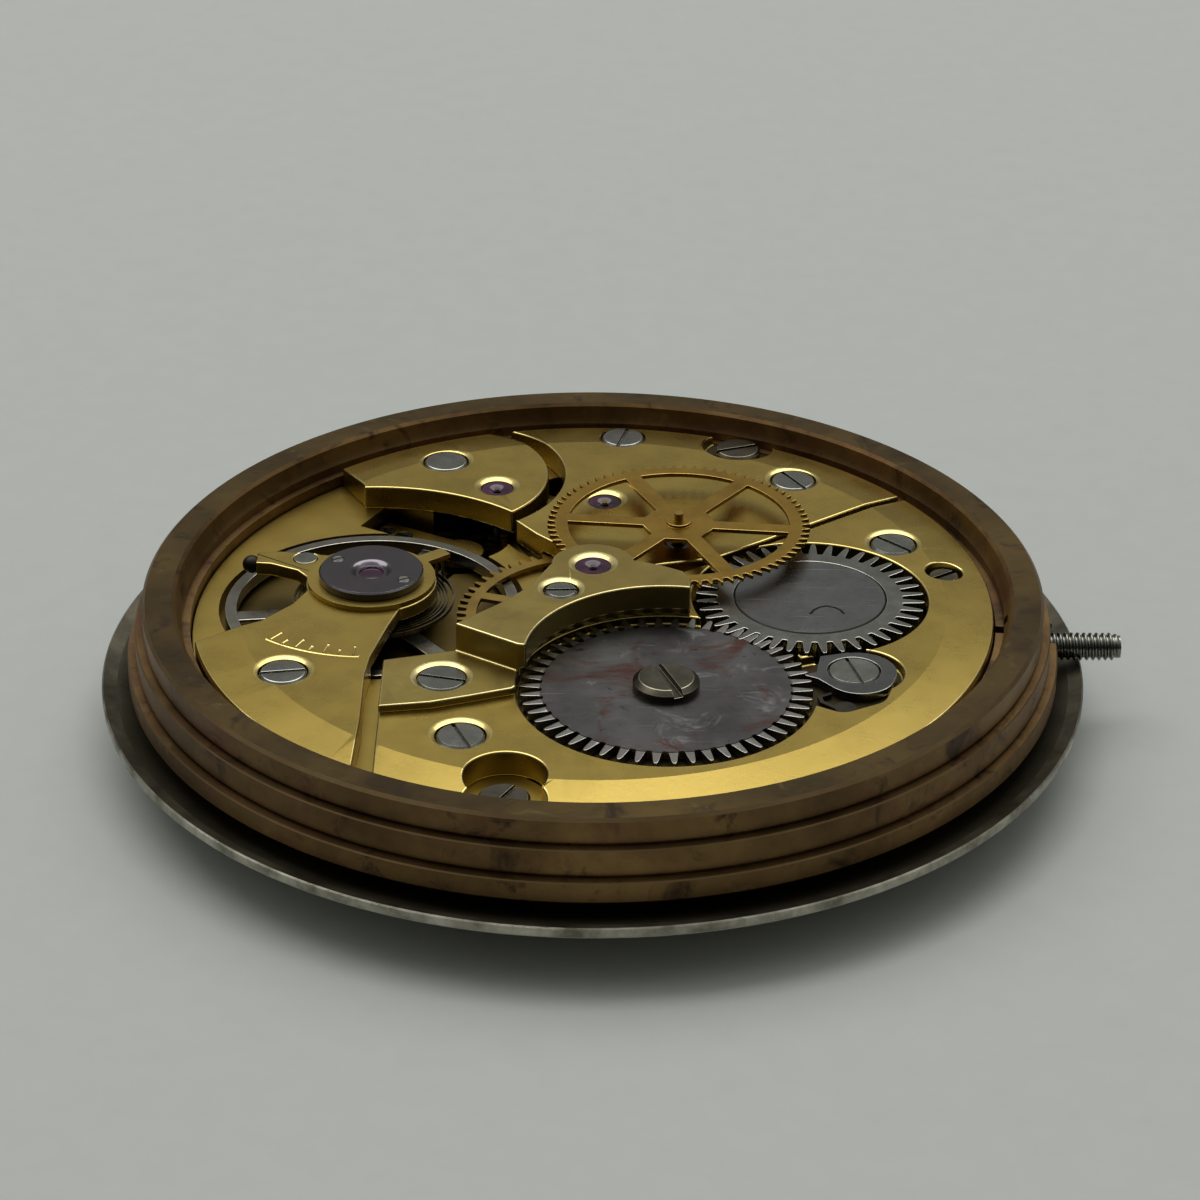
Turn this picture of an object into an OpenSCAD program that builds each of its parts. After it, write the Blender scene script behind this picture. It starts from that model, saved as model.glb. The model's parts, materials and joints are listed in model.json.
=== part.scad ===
// A hand-wound watch movement with sweep seconds, in its casing ring and on its dial.
// The dial faces down. The origin is on the hand axis at the front of the dial, +Z leaves the bridge side
// and +X runs out along the winding stem. All sizes are in millimetres.

/* [Dial] */
// Diameter of the dial
dial_d = 31.5; // [31.2:0.1:32]
// Thickness of the flat middle of the dial
dial_t = 0.4; // [0.3:0.05:0.45]
// Diameter of the flat middle of the dial
dial_flat_d = 25.8; // [25.7:0.1:26.2]
// Rise of the dial's edge above its flat middle
dial_rise = 0.85; // [0.6:0.05:0.9]
// Thickness of the dial's edge
dial_edge_t = 0.32; // [0.25:0.01:0.4]
// Diameter of the hand hole in the dial
dial_hole_d = 1.7; // [1.65:0.05:2]
// Diameter of a dial foot
dial_foot_d = 0.8; // [0.6:0.05:0.9]
// Length of a dial foot above the dial
dial_foot_l = 1.1; // [0.8:0.05:1.3]
// Distance of the dial feet from the hand axis
dial_foot_at = 11.6; // [11.4:0.1:11.8]

/* [Casing ring] */
// Height of the ring's underside
ring_z0 = 1.44; // [1.4:0.01:1.6]
// Height of the ring's top
ring_top = 3.98; // [3.8:0.01:4.2]
// Outer diameter of the lowest tier
ring_low_d = 29.76; // [29.4:0.1:30.2]
// Outer diameter of the middle tier
ring_mid_d = 29.2; // [28.9:0.1:29.3]
// Outer diameter of the top tier
ring_high_d = 28.68; // [28.3:0.1:28.8]
// Height where the middle tier starts
tier_mid_z = 2.24; // [2.1:0.01:2.4]
// Height where the top tier starts
tier_high_z = 3.16; // [3:0.01:3.3]
// Width and depth of the groove between two tiers
tier_groove = 0.07; // [0.04:0.01:0.1]
// Bore of the ring around the movement
ring_bore_d = 25.72; // [25.66:0.01:25.8]
// Bore of the ring above its ledge
ring_ledge_d = 26.24; // [26.1:0.02:26.3]
// Height of the ledge that the case screws hold
ledge_z = 3; // [2.9:0.01:3.1]
// Bore of the ring at its top
ring_mouth_d = 26.6; // [26.4:0.02:27]
// Height where the mouth starts
mouth_z = 3.5; // [3.4:0.01:3.6]
// Diameter of the stem's notch in the ring
stem_notch_d = 1.6; // [1.3:0.05:1.8]

/* [Plate and bridges] */
// Diameter of the movement
movement_d = 25.6; // [25.5:0.01:25.62]
// Diameter of the plate's flange under the casing ring
flange_d = 26.6; // [26.2:0.1:27]
// Height of the flange's underside
flange_z0 = 0.8; // [0.75:0.05:1]
// Height of the seat that the bridges stand on
seat_z = 2.62; // [2.6:0.01:2.66]
// Height of the bridges' top
bridge_top = 3.45; // [3.42:0.01:3.5]
// Diameter where the bridges' rim bevel starts
bevel_d = 22.6; // [22:0.1:24]
// Drop of the rim bevel
bevel_drop = 0.16; // [0.05:0.01:0.25]
// Height of the raised centre bridge's top
centre_top = 4.66; // [4.6:0.01:4.8]
// Height of the centre bridge's foot above the bridges
foot_t = 0.27; // [0.2:0.01:0.35]
// Floor left in the plate between the dial side and the train
web_t = 0.12; // [0.1:0.01:0.14]
// Height of the dial-side recess in the plate
dial_side_z = 0.9; // [0.88:0.01:0.9]

/* [Screws and jewels] */
// Head diameter of a bridge screw
screw_head_d = 1.5; // [1.3:0.02:1.6]
// Head height of a bridge screw
screw_head_h = 0.34; // [0.25:0.01:0.4]
// Shank diameter of a bridge screw
screw_d = 0.7; // [0.6:0.02:0.72]
// Width of a screw slot
slot_w = 0.16; // [0.1:0.01:0.2]
// Depth of a screw slot
slot_d = 0.12; // [0.08:0.01:0.16]
// Diameter of a train jewel
jewel_d = 1.0; // [0.9:0.02:1.1]
// Thickness of a train jewel
jewel_t = 0.24; // [0.2:0.01:0.26]
// Diameter of a train pivot
pivot_d = 0.18; // [0.14:0.01:0.2]

/* [Winding] */
// Tooth count of the ratchet wheel
ratchet_teeth = 50; // [50]
// Tooth count of the crown wheel
crown_teeth = 40; // [40]
// Tooth height beyond the pitch circle on the ratchet and crown wheels
wind_addendum = 0.32; // [0.28:0.01:0.34]
// Tooth depth inside the pitch circle on the ratchet and crown wheels
wind_dedendum = 0.36; // [0.35:0.01:0.4]
// Thickness of the ratchet wheel
ratchet_t = 0.28; // [0.26:0.01:0.28]
// Thickness of the crown wheel
crown_t = 0.59; // [0.57:0.01:0.59]
// Height of the ratchet and crown wheels' top
wind_top = 3.47; // [3.45:0.01:3.5]
// Head diameter of the ratchet screw
ratchet_screw_d = 2.06; // [1.8:0.02:2.2]
// Height of the ratchet screw's head
ratchet_screw_h = 0.38; // [0.3:0.01:0.5]
// Diameter of the crown wheel's flush cap
crown_cap_d = 4.84; // [4.4:0.02:5]
// Diameter of the click's round body
click_d = 2.2; // [2:0.02:2.26]
// Head diameter of the click screw
click_screw_d = 1.6; // [1.4:0.02:1.7]

/* [Barrel] */
// Tooth count of the barrel
barrel_teeth = 72; // [72]
// Height of the barrel's underside
barrel_z0 = 1.06; // [1.06:0.01:1.08]
// Height of the barrel with its cover
barrel_h = 1.5; // [1.4:0.01:1.52]
// Outer diameter of the barrel's drum
drum_d = 10.3; // [10:0.05:10.4]
// Wall of the barrel's drum
drum_wall = 0.2; // [0.15:0.01:0.3]
// Thickness of the barrel's cover
cover_t = 0.16; // [0.12:0.01:0.2]
// Diameter of the barrel arbor's core
arbor_core_d = 3.2; // [2.8:0.05:3.4]
// Diameter of the barrel arbor in its bearings
arbor_d = 1.8; // [1.6:0.02:1.9]
// Thickness of the mainspring
mainspring_t = 0.12; // [0.1:0.01:0.14]
// Turns of the mainspring
mainspring_turns = 7; // [6:1:8]

/* [Train] */
// Leaves of the centre pinion
centre_leaves = 10; // [10]
// Teeth of the centre wheel
centre_teeth = 64; // [64]
// Leaves of the third pinion
third_leaves = 8; // [8]
// Teeth of the third wheel
third_teeth = 60; // [60]
// Leaves of the fourth pinion
fourth_leaves = 8; // [8]
// Teeth of the fourth wheel
fourth_teeth = 70; // [70]
// Leaves of the escape pinion
escape_leaves = 7; // [7]
// Teeth of the escape wheel
escape_teeth = 15; // [15]
// Teeth of the drive wheel on the long third arbor
drive_teeth = 75; // [75]
// Leaves of the sweep seconds pinion
sweep_leaves = 10; // [10]
// Thickness of the train wheels
wheel_t = 0.13; // [0.1:0.01:0.13]
// Height of the drive wheel's top
drive_top = 4.13; // [4.1:0.01:4.16]
// Radial width of the drive wheel's rim
drive_rim = 0.42; // [0.35:0.01:0.5]
// Width of the drive wheel's spokes
drive_spoke_w = 0.55; // [0.45:0.01:0.6]
// Tip diameter of the escape wheel
escape_d = 4.3; // [4.2:0.02:4.32]

/* [Balance] */
// Outer diameter of the balance
balance_d = 9.5; // [9.3:0.02:9.56]
// Radial width of the balance rim
balance_rim = 0.38; // [0.3:0.01:0.45]
// Height of the balance rim's underside
rim_z0 = 2.25; // [2.22:0.01:2.28]
// Height of the balance rim
rim_h = 0.4; // [0.35:0.01:0.42]
// Distance of the impulse jewel from the balance axis
impulse_at = 0.72; // [0.68:0.01:0.76]
// Turns of the hairspring
hairspring_turns = 11; // [9:1:12]
// Thickness of the hairspring
hairspring_t = 0.05; // [0.04:0.005:0.06]
// Height of the hairspring blade
hairspring_h = 0.14; // [0.1:0.01:0.15]
// Distance of the stud from the balance axis
stud_at = 2.74; // [2.7:0.01:2.78]
// Diameter of the steel cap plate on the cock
cap_d = 3.37; // [3.3:0.01:3.4]
// Thickness of the cap plate's rim
cap_t = 0.26; // [0.2:0.01:0.3]
// Outer diameter of the regulator ring
regulator_d = 4.12; // [4:0.02:4.2]

/* [Keyless work] */
// Height of the stem's axis
stem_z = 1.7; // [1.69:0.01:1.71]
// Diameter of the stem's crown thread
thread_d = 0.9; // [0.8:0.02:0.92]
// Distance of the stem's outer end from the hand axis
stem_end = 17.05; // [16.8:0.05:17.5]
// Distance of the stem's pivot end from the hand axis
stem_start = 4.85; // [4.8:0.01:4.9]
// Travel of the stem when it is pulled to set the hands
stem_travel = 0.6; // [0.5:0.02:0.62]
// Diameter of the winding pinion over its teeth
winding_pinion_d = 2.52; // [2.46:0.01:2.54]
// Teeth of the winding pinion
winding_teeth = 15; // [15]
// Diameter of the sliding clutch
clutch_d = 1.8; // [1.7:0.02:1.84]
// Side of the stem's square
stem_square = 0.56; // [0.5:0.01:0.58]

/* [Motion work] */
// Leaves of the cannon pinion
cannon_leaves = 12; // [12]
// Teeth of the minute wheel
minute_teeth = 36; // [36]
// Leaves of the minute pinion
minute_leaves = 10; // [10]
// Teeth of the hour wheel
hour_teeth = 40; // [40]
// Distance between the hand axis and the minute wheel
minute_at = 2.9; // [2.86:0.01:2.92]
// Diameter of the hour hand's pipe
hour_pipe_d = 1.5; // [1.4:0.02:1.52]
// Diameter of the minute hand's post
minute_post_d = 0.9; // [0.86:0.02:0.94]
// Diameter of the seconds hand's post
seconds_post_d = 0.24; // [0.2:0.01:0.25]
// Reach of the hour pipe below the dial
hour_reach = 0.35; // [0.3:0.05:0.4]
// Reach of the minute post below the dial
minute_reach = 0.65; // [0.6:0.05:0.7]
// Reach of the seconds post below the dial
seconds_reach = 0.9; // [0.85:0.05:1]

/* [Fits] */
// Running clearance round an arbor or pivot
run = 0.03; // [0.02:0.005:0.04]
// Clearance between a wheel and the floor or wall beside it
air = 0.04; // [0.03:0.005:0.05]
// Clearance round a tooth circle
tooth_air = 0.12; // [0.1:0.01:0.14]
// Clearance of a screw or jewel in its hole
snug = 0.01; // [0.005:0.005:0.02]

/* [Hidden] */
$fn = 96;
gilt = [0.80, 0.66, 0.28];
brass = [0.78, 0.60, 0.30];
steel = [0.52, 0.54, 0.58];
dark_steel = [0.36, 0.37, 0.40];
bronze = [0.42, 0.31, 0.20];
silver = [0.70, 0.69, 0.64];
ruby = [0.48, 0.18, 0.38];

movement_r = movement_d/2;
plate_z0 = dial_t;

// Where the arbors stand
barrel_c = [2.26, -5.86];
third_c = [2.80, 3.86];
fourth_c = [0.37, 6.93];
escape_c = [-3.29, 7.89];
balance_c = [-7.15, 0.95];
crown_c = [6.95, 0];
click_c = [8.08, -4.72];
centre_c = [0, 0];

function way(a, b) = atan2(b[1] - a[1], b[0] - a[0]);
function at(c, r, a) = [c[0] + r*cos(a), c[1] + r*sin(a)];
function pitch_r(n, other, d) = d*n/(n + other);
function step_of(n, r) = 2*r/n;
// Turn of a wheel with n2 teeth that meshes in direction d with a wheel of n1 teeth turned by turn1
function meshed(n1, turn1, n2, d) = d + 180 - (turn1 - d)*n1/n2 + 180/n2;

pallet_gap = escape_d/2/cos(30) + 0.02;
pallet_c = at(escape_c, pallet_gap, way(escape_c, balance_c));
minute_c = at(centre_c, minute_at, 20);
setting_r = 0.86;
setting_teeth = 15;
setting_c = at(minute_c, pitch_r(minute_teeth, cannon_leaves, minute_at) + setting_r, -16);

// Pitch circles
barrel_span = norm(barrel_c);
barrel_pr = pitch_r(barrel_teeth, centre_leaves, barrel_span);
centre_pinion_pr = barrel_span - barrel_pr;
third_span = norm(third_c);
centre_pr = pitch_r(centre_teeth, third_leaves, third_span);
third_pinion_pr = third_span - centre_pr;
drive_pr = pitch_r(drive_teeth, sweep_leaves, third_span);
sweep_pr = third_span - drive_pr;
fourth_span = norm(fourth_c - third_c);
third_pr = pitch_r(third_teeth, fourth_leaves, fourth_span);
fourth_pinion_pr = fourth_span - third_pr;
escape_span = norm(escape_c - fourth_c);
fourth_pr = pitch_r(fourth_teeth, escape_leaves, escape_span);
escape_pinion_pr = escape_span - fourth_pr;
wind_span = norm(crown_c - barrel_c);
ratchet_pr = pitch_r(ratchet_teeth, crown_teeth, wind_span);
crown_pr = wind_span - ratchet_pr;
cannon_pr = pitch_r(cannon_leaves, minute_teeth, minute_at);
minute_pr = minute_at - cannon_pr;
minute_pinion_pr = pitch_r(minute_leaves, hour_teeth, minute_at);
hour_pr = minute_at - minute_pinion_pr;

function tip_r(n, pr) = pr + step_of(n, pr);
function root_r(n, pr) = pr - 1.25*step_of(n, pr);

// Turns that put every pair in mesh
barrel_turn = 0;
centre_pinion_turn = meshed(barrel_teeth, barrel_turn, centre_leaves, way(barrel_c, centre_c));
centre_turn = 0;
third_pinion_turn = meshed(centre_teeth, centre_turn, third_leaves, way(centre_c, third_c));
third_turn = 0;
fourth_pinion_turn = meshed(third_teeth, third_turn, fourth_leaves, way(third_c, fourth_c));
fourth_turn = 0;
escape_pinion_turn = meshed(fourth_teeth, fourth_turn, escape_leaves, way(fourth_c, escape_c));
escape_turn = way(escape_c, pallet_c) + 6;
drive_turn = 0;
sweep_turn = meshed(drive_teeth, drive_turn, sweep_leaves, way(third_c, centre_c));
crown_turn = 180/crown_teeth;
ratchet_turn = meshed(crown_teeth, crown_turn, ratchet_teeth, way(crown_c, barrel_c));
cannon_turn = 0;
minute_turn = meshed(cannon_leaves, cannon_turn, minute_teeth, way(centre_c, minute_c));
minute_pinion_turn = 0;
hour_turn = meshed(minute_leaves, minute_pinion_turn, hour_teeth, way(minute_c, centre_c));
setting_turn = meshed(minute_teeth, minute_turn, setting_teeth, way(minute_c, setting_c));

// Heights of the wheels, from the plate up
centre_wheel_z = 2.71;
centre_under = centre_wheel_z + wheel_t + air;
third_wheel_z = 2.4;
fourth_wheel_z = 1.97;
escape_wheel_z = 1.58;
escape_t = 0.16;
lower_jewel_z = 0.95;
upper_jewel_z = 3.15;
barrel_top = barrel_z0 + barrel_h;
ratchet_z = wind_top - ratchet_t;
crown_z = wind_top - crown_t;
drive_z = drive_top - wheel_t - 0.02;
arm_under = drive_top + 0.1;
well_r = balance_d/2 + 0.2;
well_z = rim_z0 - 0.13;
hairspring_z = rim_z0 + rim_h + 0.09;
cock_under = hairspring_z + hairspring_h + 0.12;
pallet_bridge_z = 1.85;

module disc(r, z0, z1)
    translate([0, 0, z0])
        cylinder(r = r, h = z1 - z0);

module put(c, a = 0)
    translate([c[0], c[1], 0])
        rotate([0, 0, a])
            children();

module slab(z0, z1)
    translate([0, 0, z0])
        linear_extrude(z1 - z0)
            children();

module bar(x0, x1, w, z0, z1)
    translate([x0, -w/2, z0])
        cube([x1 - x0, w, z1 - z0]);

// Outline of a toothed wheel, with the width of a tooth's crest and foot as shares of the tooth pitch
module gear_2d(n, tip, root, turn, crest = 0.2, foot = 0.58)
    polygon([for (i = [0:n - 1], s = [0:3])
        let (
            share = s == 0 ? -foot : s == 1 ? -crest : s == 2 ? crest : foot,
            r = (s == 1 || s == 2) ? tip : root,
            a = turn + (i + share/2)*360/n
        )
        [r*cos(a), r*sin(a)]]);

module gear(n, pr, turn, z0, z1)
    slab(z0, z1)
        gear_2d(n, tip_r(n, pr), root_r(n, pr), turn);

// A crossed-out wheel: toothed rim, spokes and hub
module wheel(n, pr, turn, rim, hub_r, spokes, spoke_w, spoke_turn, z0, t) {
    inner = root_r(n, pr) - rim;
    slab(z0, z0 + t) {
        difference() {
            gear_2d(n, tip_r(n, pr), root_r(n, pr), turn);
            circle(r = inner);
        }
        circle(r = hub_r);
        for (k = [0:spokes - 1])
            rotate([0, 0, spoke_turn + k*360/spokes])
                translate([0, -spoke_w/2])
                    square([inner + rim/2, spoke_w]);
    }
}

// A slotted screw, its head's top at z = 0 and its shank down the -Z side
module screw(head_d, head_h, shank_d, reach, slot_turn) {
    edge = head_h/4;
    difference() {
        union() {
            translate([0, 0, -head_h])
                cylinder(d = head_d, h = head_h - edge);
            translate([0, 0, -edge])
                cylinder(d1 = head_d, d2 = head_d - 2*edge, h = edge);
            translate([0, 0, -reach])
                cylinder(d = shank_d, h = reach - head_h);
        }
        rotate([0, 0, slot_turn])
            translate([-head_d, -slot_w/2, -slot_d])
                cube([2*head_d, slot_w, slot_d + 1]);
    }
}

// The hole for such a screw: a counterbore with a bevelled mouth over a clear hole
module screw_hole(c, top, z0, head_d = screw_head_d, head_h = screw_head_h)
    put(c) {
        disc(screw_d/2 + snug, z0, top + 1);
        disc(head_d/2 + air, top - head_h, top + 1);
        translate([0, 0, top - 0.09])
            cylinder(r1 = head_d/2 + air, r2 = head_d/2 + air + 0.11, h = 0.11);
    }

module jewel(r, hole_r, z0, z1)
    difference() {
        disc(r, z0, z1);
        disc(hole_r, z0 - 1, z1 + 1);
        translate([0, 0, z1 - 0.1])
            cylinder(r1 = hole_r, r2 = r*0.62, h = 0.101);
    }

// The round blank that every bridge is cut from, with its bevelled rim
module bridge_stock(z0)
    rotate_extrude()
        polygon([
            [0, z0],
            [movement_r, z0],
            [movement_r, bridge_top - bevel_drop],
            [bevel_d/2, bridge_top],
            [0, bridge_top]
        ]);

// Screw places, as [place, slot direction]
barrel_screw_a = [[-3.93, -8.63], 14];
barrel_screw_b = [[9.89, 3.87], 4];
train_screw_a = [[1.0, 11.87], 64];
train_screw_b = [[6.8, 8.55], 120];
escape_screw_at = [[-5.11, 9.88], 150];
foot_screw_at = [[-4.61, -5.66], 20];
head_screw_at = [[-1.0, -1.68], 2];
cock_screw_at = [[-9.54, -4.84], 17];
setting_screw_at = [11.4, 1.9];
head_screw_d = 1.07;
thread_reach = 1.9;
case_screw_r = 0.78;
case_screw_c = [at(centre_c, 12.25, 66), at(centre_c, 12.25, 258)];
dial_foot_c = [at(centre_c, dial_foot_at, 60), at(centre_c, dial_foot_at, 213)];

module dial() {
    out_r = dial_d/2;
    flat_r = dial_flat_d/2;
    low = dial_rise + dial_t/2 - dial_edge_t/2;
    steps = 6;
    color(silver) {
        rotate_extrude()
            polygon(concat(
                [[dial_hole_d/2, 0]],
                [for (i = [0:steps]) let (s = i/steps) [flat_r + s*(out_r - flat_r), low*pow(s, 1.25)]],
                [for (i = [steps:-1:0]) let (s = i/steps)
                    [flat_r + s*(out_r - flat_r), dial_t + (low + dial_edge_t - dial_t)*pow(s, 1.25)]],
                [[dial_hole_d/2, dial_t]]
            ));
        for (c = dial_foot_c)
            put(c)
                disc(dial_foot_d/2, dial_t, dial_t + dial_foot_l);
    }
}

module casing_ring() {
    low_r = ring_low_d/2;
    mid_r = ring_mid_d/2;
    high_r = ring_high_d/2;
    soft = 0.1;
    color(bronze)
        difference() {
            rotate_extrude()
                polygon([
                    [ring_bore_d/2, ring_z0],
                    [low_r - soft, ring_z0],
                    [low_r, ring_z0 + soft],
                    [low_r, tier_mid_z - tier_groove - 0.04],
                    [low_r - 0.04, tier_mid_z - tier_groove],
                    [mid_r - tier_groove, tier_mid_z - tier_groove],
                    [mid_r, tier_mid_z + 0.04],
                    [mid_r, tier_high_z - tier_groove - 0.04],
                    [mid_r - 0.04, tier_high_z - tier_groove],
                    [high_r - tier_groove, tier_high_z - tier_groove],
                    [high_r, tier_high_z + 0.04],
                    [high_r, ring_top - soft],
                    [high_r - soft, ring_top],
                    [ring_mouth_d/2 + soft, ring_top],
                    [ring_mouth_d/2, ring_top - soft],
                    [ring_mouth_d/2, mouth_z],
                    [ring_ledge_d/2, mouth_z - 0.06],
                    [ring_ledge_d/2, ledge_z],
                    [ring_bore_d/2, ledge_z]
                ]);
            translate([movement_r - 1, 0, stem_z])
                rotate([0, 90, 0])
                    cylinder(d = stem_notch_d, h = 4);
            bar(movement_r - 1, movement_r + 3, stem_notch_d, ring_z0 - 1, stem_z);
            // Key slot in the mouth beside the stem, and a drilled dimple in the lowest tier
            put(centre_c, -8)
                bar(ring_bore_d/2 - 0.2, ring_mouth_d/2 + 0.28, 0.42, mouth_z - 0.2, ring_top + 1);
            rotate([0, 0, -9])
                translate([low_r - 0.2, 0, (ring_z0 + tier_mid_z)/2])
                    rotate([0, 90, 0])
                        cylinder(d = 0.36, h = 1);
        }
}

module main_plate() {
    dial_work = [[centre_c, cannon_pr + 0.3], [minute_c, minute_pr + 0.3], [setting_c, setting_r + 0.35]];
    color(gilt)
        difference() {
            union() {
                disc(movement_r, plate_z0, seat_z);
                disc(flange_d/2, flange_z0, ring_z0);
            }
            // Train side
            put(barrel_c) {
                disc(tip_r(barrel_teeth, barrel_pr) + tooth_air, barrel_z0 - air, seat_z + 1);
                disc(arbor_d/3 + run, plate_z0 - 1, barrel_z0);
            }
            disc(tip_r(centre_leaves, centre_pinion_pr) + tooth_air, barrel_z0 - air, seat_z + 1);
            disc(0.32 + run, plate_z0 - 1, seat_z);
            put(third_c)
                disc(tip_r(third_teeth, third_pr) + tooth_air, third_wheel_z - air - 0.02, seat_z + 1);
            put(fourth_c)
                disc(tip_r(fourth_teeth, fourth_pr) + tooth_air, fourth_wheel_z - air - 0.02, seat_z + 1);
            put(escape_c)
                disc(escape_d/2 + 0.07, escape_wheel_z - air - 0.02, seat_z + 1);
            for (c = [third_c, fourth_c, escape_c, pallet_c, balance_c])
                put(c) {
                    disc(0.42, lower_jewel_z + jewel_t - 0.01, seat_z);
                    disc(jewel_d/2 + snug, lower_jewel_z, lower_jewel_z + jewel_t);
                    disc(0.3, plate_z0 - 1, lower_jewel_z + 0.01);
                }
            // Lever escapement and balance
            put(pallet_c, way(escape_c, balance_c)) {
                disc(1.75, escape_wheel_z - air - 0.04, seat_z + 1);
                bar(0, norm(balance_c - pallet_c), 1.5, escape_wheel_z - air - 0.04, seat_z + 1);
                translate([-1, -3.3, pallet_bridge_z])
                    cube([2, 4.4, 2]);
                for (y = pallet_screw_y)
                    translate([0, y, 0])
                        disc(0.2 + snug, pallet_bridge_top - 0.75, seat_z);
            }
            put(balance_c) {
                disc(well_r, well_z, seat_z + 1);
                disc(1.45, 1.45, seat_z);
            }
            // Stem, pinion and clutch
            translate([0, 0, stem_z])
                rotate([0, 90, 0]) {
                    translate([0, 0, stem_start - 0.1])
                        cylinder(d = stem_square + 2*run, h = 0.92);
                    translate([0, 0, stem_start + 0.8])
                        cylinder(d = stem_square*sqrt(2) + 2*run, h = 1);
                    translate([0, 0, 6.3])
                        cylinder(d = clutch_d + 0.3, h = 3.2);
                    translate([0, 0, 9.2])
                        cylinder(d = winding_pinion_d + 0.16, h = 1.7);
                    translate([0, 0, 10.8])
                        cylinder(d = 1 + 2*run, h = 4);
                }
            // Dial side
            disc(tip_r(hour_teeth, hour_pr) + tooth_air, plate_z0 - 1, 0.62);
            for (w = dial_work)
                put(w[0])
                    disc(w[1], plate_z0 - 1, dial_side_z);
            lever_room();
            for (c = dial_foot_c)
                put(c)
                    disc(dial_foot_d/2 + snug, plate_z0 - 1, dial_t + dial_foot_l + 0.1);
            for (c = dial_foot_c)
                put(centre_c, way(centre_c, c))
                    translate([dial_foot_at, 0, 1.12])
                        rotate([0, 90, 0])
                            cylinder(d = 0.42 + 2*snug, h = 4);
            // Screw holes
            for (c = [barrel_screw_a[0], barrel_screw_b[0], train_screw_a[0], train_screw_b[0],
                      escape_screw_at[0], foot_screw_at[0], cock_screw_at[0]])
                put(c)
                    disc(screw_d/2 + snug, bridge_top - thread_reach - 0.1, seat_z + 1);
            for (c = case_screw_c)
                put(c)
                    disc(0.3 + snug, 1.9, seat_z + 1);
            put(setting_screw_at)
                disc(0.25 + run, plate_z0, seat_z + 1);
        }
    // Studs that the setting wheel, the minute wheel and the yoke turn on
    color(gilt) {
        put(setting_c)
            disc(0.3, 0.55, dial_side_z + 0.01);
        put(minute_c)
            disc(0.25, 0.45, dial_side_z + 0.01);
        put(yoke_c)
            disc(0.3, 0.5, dial_side_z + 0.01);
    }
}

// The recess of the setting lever and the yoke in the dial side of the plate
module lever_room() {
    put(setting_screw_at)
        disc(0.85, plate_z0 - 1, dial_side_z);
    for (x = [lever_tip[0] - 0.1, lever_tip[0] + stem_travel])
        put(setting_screw_at, way(setting_screw_at, [x, lever_tip[1]]))
            bar(0, 2.35, 1, plate_z0 - 1, dial_side_z);
    put(yoke_c)
        disc(0.95, plate_z0 - 1, dial_side_z);
    put(yoke_c, way(yoke_c, [7.9, 0]))
        bar(0, 3.3, 1.5, plate_z0 - 1, dial_side_z);
    put([8.1, 0])
        bar(-1.3, 1.3, 1.1, plate_z0 - 1, stem_z);
    put([11.3, 0])
        bar(-0.45, 0.95, 0.7, plate_z0 - 1, stem_z);
    slab(plate_z0 - 1, 0.58)
        cover_outline(0.1);
}
yoke_c = [8.9, -3.1];

module cover_outline(grow) {
    hinge = [8.6, 2.7];
    translate(setting_c)
        circle(r = 1.0 + grow);
    translate(hinge)
        circle(r = 0.9 + grow);
    translate(setting_c)
        rotate([0, 0, way(setting_c, hinge)])
            translate([0, -0.6 - grow])
                square([norm(hinge - setting_c), 1.2 + 2*grow]);
}

module barrel_bridge() {
    outline = concat([[-6.45, -14], [-6.45, -4.65], [-4.26, -4.04], [-2.74, -2.51], [-1.98, -1.51]],
        [for (a = [190:-7.5:25]) at(centre_c, 1.3, a)], [[4.15, 2.52], [14, 9.95], [14, -14]]);
    color(gilt)
        difference() {
            intersection() {
                bridge_stock(seat_z);
                slab(0, 5)
                    polygon(outline);
            }
            put(barrel_c) {
                disc(ratchet_pr + wind_addendum + tooth_air, ratchet_z - air, bridge_top + 1);
                disc(arbor_d/2 + run, 0, bridge_top);
            }
            put(crown_c) {
                disc(crown_pr + wind_addendum + tooth_air, crown_z - air, bridge_top + 1);
                disc(0.5 + snug, 0, bridge_top);
            }
            disc(tip_r(centre_teeth, centre_pr) + tooth_air, 0, centre_under);
            disc(0.32 + run, 0, bridge_top + 1);
            // The window under the crown wheel where the winding pinion reaches it
            bar(9.3, 10.9, winding_pinion_d + 0.3, seat_z - 1, crown_z);
            // Click and click spring
            put(click_c)
                disc(click_d/2 + 0.2, ratchet_z - air, bridge_top + 1);
            slab(ratchet_z - air, bridge_top + 1)
                polygon([[5.9, -4.2], [8.1, -3.3], [9.4, -4.9], [8.9, -6.6], [7.6, -7.3], [6.4, -6.6]]);
            put(click_c)
                disc(screw_d/2 + snug, 0, bridge_top);
            put([7.7, -6.75])
                disc(0.3 + snug, seat_z + 0.1, bridge_top);
            // Recess of the case screw in the rim, and the hole over the setting lever's screw
            put([-2.53, -10.95])
                disc(1.24, seat_z - 1, bridge_top + 1);
            put([-2.53, -12.2])
                disc(1.24, seat_z - 1, bridge_top + 1);
            put(setting_screw_at)
                disc(0.6, 0, bridge_top + 1);
            screw_hole(barrel_screw_a[0], bridge_top, 0);
            screw_hole(barrel_screw_b[0], bridge_top, 0);
            put(foot_screw_at[0])
                disc(screw_d/2 + snug, 0, bridge_top + 1);
            put(head_screw_at[0])
                disc(screw_d/2 + snug, centre_under + 0.05, bridge_top + 1);
        }
}

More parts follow.
